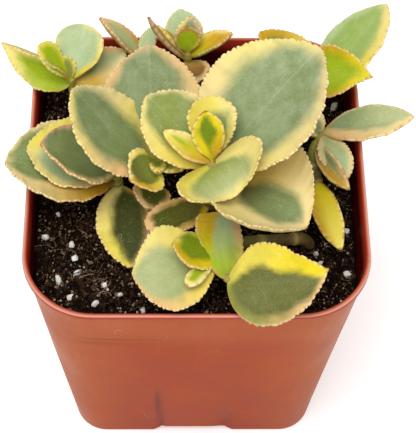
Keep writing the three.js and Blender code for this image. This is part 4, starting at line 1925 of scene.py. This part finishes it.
# The tallest shoot, with the crown in the middle of the pot
MAIN_SHOOT = Shoot(
    "main_shoot", "leaf", radius=2.2, seed=1.0,
    stem=((3, -10, 74), (3.5, -12, 95), (3.5, -12.5, 112)),
    leaves=(
        Leaf("heart", 0.99, 105, 60, 14, 9, Paint(
            (T.LEAF_GREEN, T.LEAF_GREEN), rim(T.BRIGHT_YELLOW, T.BRIGHT_YELLOW, 1.7, 2.9, 0.8),
            rim(T.GOLD, T.BRIGHT_YELLOW, 1.7, 3.1, 0.8), T.GOLD, tip=0.4, soft=1.0,
        ), roll=-10, cup=45, belly=0.62, smooth=True),
        Leaf("spike", 0.98, 160, 30, 15, 7, Paint(
            (T.BRIGHT_YELLOW, T.LIME), rim(T.GOLD, T.YELLOW, 2.4), rim(T.YELLOW, T.PALE_YELLOW, 1.8),
            T.PALE_YELLOW, soft=1.2,
        ), roll=-30, cup=70, smooth=True),
        Leaf("crown_back", 0.96, 90, 42, 17, 13, Paint(
            (T.SAP, T.SAGE), rim(T.BRIGHT_YELLOW, T.YELLOW, 6.8, 7.6, 4.6),
            rim(T.YELLOW, T.PALE_YELLOW, 1.2, 1.5, 2.2), T.PEACH, tip=4.0, soft=1.5, wax_and_sheen=0.2,
        ), cup=35, droop=10, belly=0.7),
        Leaf("crown_front", 0.96, -60, 6, 11, 32, Paint(
            (T.SAP, T.PALE_SAGE), rim(T.PALE_YELLOW, T.PALE_YELLOW, 7.2, 7.0, 3.6),
            rim(T.YELLOW, T.PALE_YELLOW, 6.4, 6.2, 3.2), T.PEACH, tip=1.6, soft=2.2, wax_and_sheen=0.4,
        ), roll=14, cup=75, droop=24),
        Leaf("crown_left", 0.9, 130, 18, 25, 21, Paint(
            (T.SAP, T.SAP), rim(T.YELLOW, T.PALE_YELLOW, 5.5, 3.8, 1.2),
            rim(T.YELLOW, T.CREAM, 4.5, 1.8, 0.8), T.CREAM, tip=0.8, soft=1.5, wax_and_sheen=0.5,
        ), cup=24, sweep=9),
        Leaf("back_right", 0.84, 45, 27, 42, 37, Paint(
            (T.SAGE, T.SAGE), rim(T.CREAM, T.PALE_YELLOW, 6.5, 5.6, 2.0),
            rim(T.PALE_YELLOW, T.CREAM, 6.4, 5.0, 1.8), T.PEACH, tip=2.0, soft=3.2, wax_and_sheen=0.9,
        ), roll=-10, cup=30, sweep=-5),
        # Its dark olive root is partly painted shadow of the crown's front leaf
        Leaf("front_right", 0.72, -30, 6, 28, 38, Paint(
            (T.OLIVE_SHADE, T.SAGE), rim(T.GOLD, T.CREAM, 15.0, 13.0, 4.6),
            rim(T.PALE_YELLOW, T.CREAM, 15.5, 14.0, 5.2), T.PEACH, tip=2.0, soft=2.4, wax_and_sheen=0.2,
        ), roll=-12, cup=55, droop=9),
        # Its dark centre is partly painted shade under the crown
        Leaf("front_left", 0.42, 214, 0, 18.5, 10.5, Paint(
            (T.OLIVE_SHADE, T.DEEP_GREEN), rim(T.GOLD, T.PEACH, 1.7), rim(T.GOLD, T.PEACH, 1.4, 1.4, 1.6),
            T.PEACH, tip=2.2, soft=1.0,
        ), cup=16, droop=3, sweep=-25, belly=0.6, taper=1.25),
    ),
)

BUD_PAINT = Paint((T.SAP, T.SAP), rim(T.YELLOW, T.YELLOW, 0.8), rim(T.YELLOW, T.YELLOW, 0.8), T.GOLD)

# The shoot to the left of the crown, with buds at its tip
SIDE_SHOOT = Shoot(
    "side_shoot", "leaf", radius=1.7, seed=2.0,
    stem=((-11, -3, 74), (-11.5, -5.5, 95), (-10, -8, 105)),
    leaves=(
        Leaf("back", 0.7, 93, 20, 34, 27, Paint(
            (T.GREY_GREEN, T.COOL_GREEN), rim(T.GOLD, T.PEACH, 4.0, 2.4, 1.0),
            rim(T.PALE_YELLOW, T.PEACH, 5.2, 4.4, 1.4), T.PINK, tip=1.0, soft=2.2, wax_and_sheen=0.6,
        ), roll=-5, cup=15),
        Leaf("left", 0.76, 158, 30, 30, 26, Paint(
            (T.GREY_GREEN, T.COOL_GREEN), rim(T.PEACH, T.PALE_YELLOW, 4.2, 3.2, 1.2),
            rim(T.YELLOW, T.CREAM, 2.6, 6.6, 1.0), T.PEACH, tip=1.0, soft=2.4, wax_and_sheen=0.5,
        ), roll=12, cup=8, droop=-12, sweep=-14),
        # Its dark centre is partly painted shade under the crown
        Leaf("low", 0.36, 264, 8, 9, 10.5, Paint(
            (T.DEEP_GREEN, T.DEEP_GREEN), rim(T.GOLD, T.PEACH, 0.8), rim(T.GOLD, T.PEACH, 1.6), T.PEACH,
            tip=1.0,
        ), roll=-14, cup=26, belly=0.48, taper=1.2),
        Leaf("young_left", 0.93, 225, 15, 10, 13, Paint(
            (T.SAP, T.MOSS), rim(T.YELLOW, T.GOLD, 1.8), rim(T.YELLOW, T.PALE_YELLOW, 1.3), T.CREAM,
            soft=0.9,
        ), roll=-28, cup=32),
        Leaf("bud_front", 0.97, 270, 30, 6, 5, BUD_PAINT, cup=50, smooth=True),
        Leaf("bud_right", 0.95, 330, 20, 8, 6, BUD_PAINT, cup=45, smooth=True),
        Leaf("bud_back", 0.98, 60, 45, 6, 5, BUD_PAINT, cup=50, smooth=True),
    ),
)

# The shoot at the left, with three leaves above one another and one to the front
LEFT_SHOOT = Shoot(
    "left_shoot", "leaf", radius=1.8, seed=3.0,
    stem=((-20, -3, 74), (-21, -3, 85), (-21.5, -3, 93)),
    leaves=(
        Leaf("top", 0.96, 177, 24, 22, 24, Paint(
            (T.GREY_GREEN, T.GREY_GREEN), rim(T.CREAM, T.PEACH, 3.0, 2.4, 0.6), rim(T.PEACH, T.PINK, 0.8),
            T.PINK, tip=0.5, soft=1.6, wax_and_sheen=0.3,
        ), roll=20, cup=25, droop=-12),
        Leaf("middle", 0.86, 158, 8, 25, 26, Paint(
            (T.MINT, T.MINT), rim(T.CREAM, T.PALE_YELLOW, 3.0, 3.0, 3.0),
            rim(T.YELLOW, T.YELLOW, 6.0, 6.0, 4.5), T.CREAM, tip=4.0, soft=2.0, wax_and_sheen=1.0,
        ), roll=10, cup=30, sweep=12),
        Leaf("low", 0.74, 175, 12, 30, 33, Paint(
            (T.MOSS, T.GREY_GREEN), rim(T.GOLD, T.CREAM, 12.0, 10.5, 1.6),
            rim(T.CREAM, T.CREAM, 1.6, 1.8, 1.2), T.PINK, tip=1.2, soft=1.8, wax_and_sheen=0.4,
        ), roll=15, cup=28, sweep=6),
        # Its dark centre is partly painted shade under the leaves above
        Leaf("front", 0.62, -81, -6, 25, 15, Paint(
            (T.DARK_GREEN, T.DARK_GREEN), rim(T.AMBER, T.PEACH, 0.7),
            rim(T.PALE_YELLOW, T.YELLOW, 4.2, 3.9, 2.6), T.PEACH, tip=1.4, soft=1.9,
        ), roll=5, cup=33),
    ),
)

# The fresh shoot in the back left corner
FAR_LEFT_SHOOT = Shoot(
    "far_left_shoot", "leaf_bright", radius=1.6, seed=4.0, fresh=0.85,
    stem=((-32, 24, 74), (-33.5, 25.5, 86), (-34, 26, 95.5)),
    leaves=(
        Leaf("folded", 0.88, 160, 16, 22, 12.5, Paint(
            (T.LIME, T.LIME), rim(T.LIME, T.PALE_YELLOW, 1.6, 2.4, 3.4),
            rim(T.LIME, T.PALE_YELLOW, 1.6, 2.4, 3.4), T.PALE_YELLOW, tip=6.0, soft=2.0,
        ), roll=-64, cup=80, sweep=-10, belly=0.4, taper=1.65),
        Leaf("upright", 0.97, 162, 38, 13, 7, Paint(
            (T.LIME, T.LIME), rim(T.LIME, T.YELLOW, 0.8), rim(T.BRIGHT_YELLOW, T.YELLOW, 1.0), T.YELLOW,
            soft=1.2,
        ), roll=-8, cup=20, sweep=-36, belly=0.74, taper=1.3),
        Leaf("round", 0.93, 73, 33, 16, 14, Paint(
            (T.MINT, T.MINT), rim(T.YELLOW, T.MINT, 0.7), rim(T.BRIGHT_YELLOW, T.PALE_YELLOW, 1.5),
            T.PALE_YELLOW, soft=1.4, wax_and_sheen=1.0,
        ), cup=27, belly=0.66, smooth=True),
        Leaf("small", 0.97, 120, 35, 7, 6, Paint(
            (T.SAP, T.SAP), rim(T.YELLOW, T.YELLOW, 1.0), rim(T.YELLOW, T.YELLOW, 1.0), T.GOLD,
        ), cup=40),
        Leaf("grey", 0.82, 32, 12, 18, 11, Paint(
            (T.OLIVE, T.PALE_SAGE), rim(T.PEACH, T.PEACH, 1.6), rim(T.GOLD, T.CREAM, 3.8, 4.2, 3.0),
            T.PEACH, soft=1.8, wax_and_sheen=0.6,
        ), roll=35, cup=50, droop=12),
    ),
)

# The small shoot behind, to the left, with one pointed leaf
BACK_LEFT_SHOOT = Shoot(
    "back_left_shoot", "leaf_olive", radius=1.5, seed=5.0,
    stem=((-14, 32, 74), (-14.5, 34, 86), (-14.7, 34.6, 93)),
    leaves=(
        Leaf("pointed", 0.95, 148, 35, 17, 8.8, Paint(
            (T.PALE_SAGE, T.PALE_SAGE), rim(T.AMBER, T.PEACH, 1.6), rim(T.AMBER, T.PEACH, 1.6), T.PINK,
            tip=0.8, soft=1.2, wax_and_sheen=0.2,
        ), roll=26, cup=48, belly=0.46, taper=1.65),
        Leaf("pale", 0.95, 74, 25, 10, 5, Paint(
            (T.MINT, T.MINT), rim(T.MINT, T.MINT, 0.5), rim(T.MINT, T.MINT, 0.5), T.CREAM, wax_and_sheen=1.0,
        ), cup=30, smooth=True),
    ),
)

# The shoot in the middle of the back, with narrow brown leaves
BACK_SHOOT = Shoot(
    "back_shoot", "leaf_olive", radius=1.6, seed=6.0,
    stem=((-2, 31, 74), (-2, 34, 86), (-2.2, 34.8, 96)),
    leaves=(
        Leaf("narrow_far", 0.85, 167, 34, 17.5, 2.6, Paint(
            (T.RUST, T.RUST), rim(T.BROWN, T.RUST, 0.5), rim(T.CREAM, T.PEACH, 0.7), T.RUST,
        ), cup=50, droop=-28, sweep=-12, smooth=True),
        Leaf("narrow_near", 0.92, 150, 36, 12, 3, Paint(
            (T.AMBER, T.GOLD), rim(T.GOLD, T.YELLOW, 0.6), rim(T.RUST, T.GOLD, 0.6), T.GOLD,
        ), roll=20, cup=55, smooth=True),
        Leaf("pale", 0.88, 101, 27, 14, 11, Paint(
            (T.MINT, T.MINT), rim(T.CREAM, T.MINT, 1.0), rim(T.PALE_YELLOW, T.MINT, 1.2), T.CREAM, soft=1.6,
            wax_and_sheen=1.0,
        ), cup=25),
        Leaf("toothed", 0.95, 87, 42, 10.5, 7.5, Paint(
            (T.SAGE, T.SAGE), rim(T.YELLOW, T.PALE_YELLOW, 1.6), rim(T.PEACH, T.PINK, 1.4), T.PINK,
            soft=1.2, wax_and_sheen=0.6,
        ), cup=35),
        Leaf("bright", 0.98, 95, 64, 8, 8, Paint(
            (T.LIME, T.LIME), rim(T.LIME, T.RUST, 0.5), rim(T.BRIGHT_YELLOW, T.RUST, 0.7), T.GOLD, tip=1.1,
            soft=0.9,
        ), cup=40, belly=0.64, smooth=True),
        Leaf("right", 0.9, 19, 22, 14, 8, Paint(
            (T.BRIGHT_YELLOW, T.ORANGE), rim(T.BRIGHT_YELLOW, T.PALE_YELLOW, 1.4),
            rim(T.LIME, T.ORANGE, 1.6), T.GOLD, soft=1.4,
        ), roll=-12, cup=50),
        Leaf("shaded", 0.8, -70, 0, 8, 10, Paint(
            (T.RUST, T.BROWN), rim(T.PEACH, T.PEACH, 1.0), rim(T.PEACH, T.PEACH, 1.0), T.PINK,
        ), cup=35),
    ),
)

# The fresh shoot in the back right corner
BACK_RIGHT_SHOOT = Shoot(
    "back_right_shoot", "leaf_bright", radius=1.6, seed=7.0, fresh=0.6,
    stem=((31, 24, 74), (32, 26, 86), (32.6, 26.4, 97)),
    leaves=(
        Leaf("right", 0.98, 5, 19, 16, 16, Paint(
            (T.LIME, T.LIME), rim(T.GOLD, T.BRIGHT_YELLOW, 2.0, 2.2, 2.6),
            rim(T.GOLD, T.BRIGHT_YELLOW, 1.6, 2.0, 2.6), T.PEACH, tip=3.6, soft=2.0,
        ), roll=27, cup=45, sweep=-34, belly=0.26, taper=1.4),
        Leaf("left", 0.9, 143, 19, 20, 14.5, Paint(
            (T.SAP, T.OLIVE), rim(T.YELLOW, T.GOLD, 3.0), rim(T.YELLOW, T.GOLD, 3.0), T.PEACH, tip=3.0,
            soft=1.8,
        ), cup=25, belly=0.44, taper=1.25),
        Leaf("tall", 0.75, 35, 22, 31, 17.5, Paint(
            (T.FERN, T.FERN), rim(T.MINT, T.MINT, 1.2), rim(T.BRIGHT_YELLOW, T.PALE_YELLOW, 1.6, 3.4, 3.0),
            T.PALE_YELLOW, tip=2.4, soft=2.0, wax_and_sheen=0.5,
        ), roll=-12, cup=20, droop=-6, sweep=15, smooth=True),
    ),
)

# The shoot at the right, with a long leaf over the rim and a yellow one in its shade
RIGHT_SHOOT = Shoot(
    "right_shoot", "leaf_pale", radius=1.7, seed=8.0,
    stem=((32, -4, 74), (32.5, -1, 86), (31.5, 5.5, 90), (34.2, 10, 93)),
    leaves=(
        Leaf("long", 0.97, 5, 12, 25, 11, Paint(
            (T.SAGE, T.PALE_SAGE), rim(T.SAGE, T.PALE_SAGE, 0.4), rim(T.PEACH, T.CREAM, 3.6, 3.8, 1.6),
            T.PEACH, tip=0.6, soft=1.2, wax_and_sheen=0.6,
        ), roll=10, cup=45, smooth=True),
        Leaf("grey", 0.95, -64, -4, 15, 9, Paint(
            (T.PALE_SAGE, T.MINT), rim(T.CREAM, T.CREAM, 1.0), rim(T.CREAM, T.PEACH, 1.4), T.PINK, soft=1.6,
            wax_and_sheen=0.9,
        ), cup=22),
        Leaf("folded", 0.8, -70, 7, 18.6, 6, Paint(
            (T.SAGE, T.SAGE), rim(T.CREAM, T.PEACH, 0.8), rim(T.AMBER, T.GOLD, 3.2, 3.2, 2.0), T.PEACH,
            soft=1.2, wax_and_sheen=0.6,
        ), roll=30, cup=55, sweep=10, smooth=True),
        Leaf("yellow", 0.34, -80, 0, 23, 8, Paint(
            (T.BRIGHT_YELLOW, T.YELLOW), rim(T.BRIGHT_YELLOW, T.YELLOW, 4.5),
            rim(T.ORANGE, T.GOLD, 2.4, 1.8, 1.0), T.GOLD, soft=1.6,
        ), roll=14, cup=39, sweep=7, smooth=True),
        Leaf("hidden", 0.9, 120, 15, 10, 8, Paint(
            (T.SAGE, T.GREY_GREEN), rim(T.CREAM, T.CREAM, 1.2), rim(T.CREAM, T.CREAM, 1.2), T.CREAM,
            wax_and_sheen=0.6,
        ), cup=30),
    ),
)

# The shoot that lies over the soil to the front, with a rosette at its tip
FRONT_SHOOT = Shoot(
    "front_shoot", "leaf", radius=1.8, seed=9.0,
    stem=(
        (31, -16, 74), (28.5, -17.5, 82.5), (22, -19.5, 85.5),
        (12, -22, 88), (6, -28.3, 93.5), (7.8, -37.4, 94.4),
    ),
    leaves=(
        Leaf("left", 0.8, 202, -6, 23.5, 25, Paint(
            (T.SAP, T.PALE_SAGE), rim(T.YELLOW, T.PEACH, 3.6, 3.4, 0.8),
            rim(T.YELLOW, T.PALE_YELLOW, 7.6, 7.4, 1.6), T.PEACH, tip=0.6, soft=2.2, wax_and_sheen=0.6,
        ), cup=6, droop=-4, sweep=-18, belly=0.58, taper=1.95),
        Leaf("right", 0.98, -21, 9, 27, 21.6, Paint(
            (T.MOSS, T.MOSS), rim(T.YELLOW, T.BRIGHT_YELLOW, 4.6, 7.0, 3.4),
            rim(T.OLIVE, T.PEACH, 2.2, 1.8, 0.8), T.PEACH, tip=1.2, soft=1.6, wax_and_sheen=0.2,
        ), roll=36, cup=27, droop=-5, sweep=38, belly=0.41, taper=1.6),
        Leaf("upper", 0.98, 98, 3, 20, 11.8, Paint(
            (T.LIME, T.MINT), rim(T.LIME, T.AMBER_YELLOW, 1.0, 3.2, 6.4), rim(T.YELLOW, T.PINK, 1.6),
            T.PEACH, tip=1.0, soft=1.2, wax_and_sheen=0.5,
        ), roll=7, droop=6, sweep=3, belly=0.72, taper=0.6),
        Leaf("young_back", 0.8, 200, 20, 14, 12, Paint(
            (T.LEAF_GREEN, T.LEAF_GREEN), rim(T.BRIGHT_YELLOW, T.AMBER_YELLOW, 3.0, 2.8, 1.6),
            rim(T.LIME, T.YELLOW, 1.0), T.CREAM, tip=1.4, soft=1.3,
        ), cup=10, droop=-14, sweep=-30, belly=0.56),
        Leaf("young_front", 0.8, 232, 12, 14.6, 4.5, Paint(
            (T.SAP, T.LIME), rim(T.PALE_YELLOW, T.PALE_YELLOW, 1.1), rim(T.LIME, T.PALE_YELLOW, 0.7),
            T.CREAM, tip=1.2,
        ), roll=-8, cup=40, belly=0.76, smooth=True),
    ),
)

SHOOTS = (
    MAIN_SHOOT, SIDE_SHOOT, LEFT_SHOOT, FAR_LEFT_SHOOT, BACK_LEFT_SHOOT, BACK_SHOOT, BACK_RIGHT_SHOOT,
    RIGHT_SHOOT, FRONT_SHOOT,
)


# Studio


@dataclass
class Studio:
    """Pale floor, soft light and the camera at the photograph's viewing angle."""

    azimuth: float = -2.6
    elevation: float = 57.8
    roll: float = 2.3
    distance: float = 425.0
    focal_pixels: float = 1488.0
    frame_height_pixels: int = 433
    sensor: float = 36.0
    target: tuple[float, float, float] = (3.8, 3.8, 60.0)
    aim_height_m: float = 0.08
    floor_reach: float = 1500.0
    floor_roughness: float = 0.9
    floor_glow: float = 0.3
    world_strength: float = 0.36
    key_watts: float = 52.0
    fill_watts: float = 5.0

    def camera(self) -> None:
        """Makes the scene's camera."""
        azimuth, elevation = math.radians(self.azimuth), math.radians(self.elevation)
        flat = math.cos(elevation)
        back = Vector((math.sin(azimuth) * flat, -math.cos(azimuth) * flat, math.sin(elevation)))
        right = (-back).cross(Vector((0, 0, 1))).normalized()
        up = right.cross(-back)
        cos, sin = math.cos(math.radians(self.roll)), math.sin(math.radians(self.roll))
        across, above = right * cos + up * sin, up * cos - right * sin
        turn = Matrix((across, above, back)).transposed()
        data = bpy.data.cameras.new("camera")
        data.sensor_width = self.sensor
        data.lens = self.focal_pixels / self.frame_height_pixels * self.sensor
        data.clip_start, data.clip_end = 0.01, 20.0
        data.dof.use_dof = False
        made = bpy.data.objects.new("camera", data)
        made.rotation_mode = "QUATERNION"
        made.rotation_quaternion = turn.to_quaternion()
        made.location = (Vector(self.target) + back * self.distance) * MM
        bpy.context.scene.collection.objects.link(made)
        bpy.context.scene.camera = made

    def light(self, name: str, place_m: tuple[float, float, float], size: float, strength: float) -> None:
        """Adds a soft square light that faces the plant.

        Args:
            name: Its name.
            place_m: Where it hangs, in metres.
            size: Its width, in metres.
            strength: Its power, in watts.
        """
        data = bpy.data.lights.new(name, "AREA")
        data.shape = "SQUARE"
        data.size = size
        data.energy = strength
        made = bpy.data.objects.new(name, data)
        made.location = place_m
        aim = Vector(place_m) - Vector((0.0, 0.0, self.aim_height_m))
        made.rotation_mode = "QUATERNION"
        made.rotation_quaternion = aim.to_track_quat("Z", "Y")
        bpy.context.scene.collection.objects.link(made)

    def world(self) -> None:
        """Makes a plain white surround."""
        world = bpy.data.worlds.new("studio")
        world.use_nodes = True
        back = world.node_tree.nodes["Background"]
        back.inputs["Color"].default_value = WHITE
        back.inputs["Strength"].default_value = self.world_strength
        bpy.context.scene.world = world
        bpy.context.scene.view_settings.view_transform = "Standard"

    def floor(self) -> None:
        """Makes the pale floor that the pot stands on."""
        reach = self.floor_reach
        corners = np.array([(-reach, -reach, 0), (reach, -reach, 0), (reach, reach, 0), (-reach, reach, 0)])
        material, build, shader = new_material("floor_paper")
        here = build.place_mm()
        paper = build.blend(build.noise(here, 0.02, 2.0, 0.5), Tint.PAPER_DARK, Tint.PAPER_LIGHT)
        build.feed(shader.inputs["Base Color"], paper)
        shader.inputs["Roughness"].default_value = self.floor_roughness
        shader.inputs["Emission Color"].default_value = WHITE
        shader.inputs["Emission Strength"].default_value = self.floor_glow
        made = Surface(corners, [(0, 1, 2, 3)]).to_object("floor", material)

    def build(self) -> None:
        """Sets up the studio."""
        self.camera()
        self.world()
        self.floor()
        self.light("key_light", (-0.35, -0.55, 2.4), 2.0, self.key_watts)
        self.light("fill_light", (0.5, -1.8, 1.2), 1.2, self.fill_watts)


def main() -> None:
    """Builds the pot, the soil and the shoots around the frame."""
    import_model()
    Studio().build()
    effects = SharedEffects()
    pot = NurseryPot()
    pot.build(PotPlastic().material(effects))
    SoilBed().build(pot, effects)
    maker = LeafMaker()
    skin = LeafSkin().material(effects)
    stem_tree = Stem.tree(StemBark().material(effects))
    for shoot in SHOOTS:
        shoot.build(maker, skin, stem_tree)


if __name__ == "__main__":
    main()
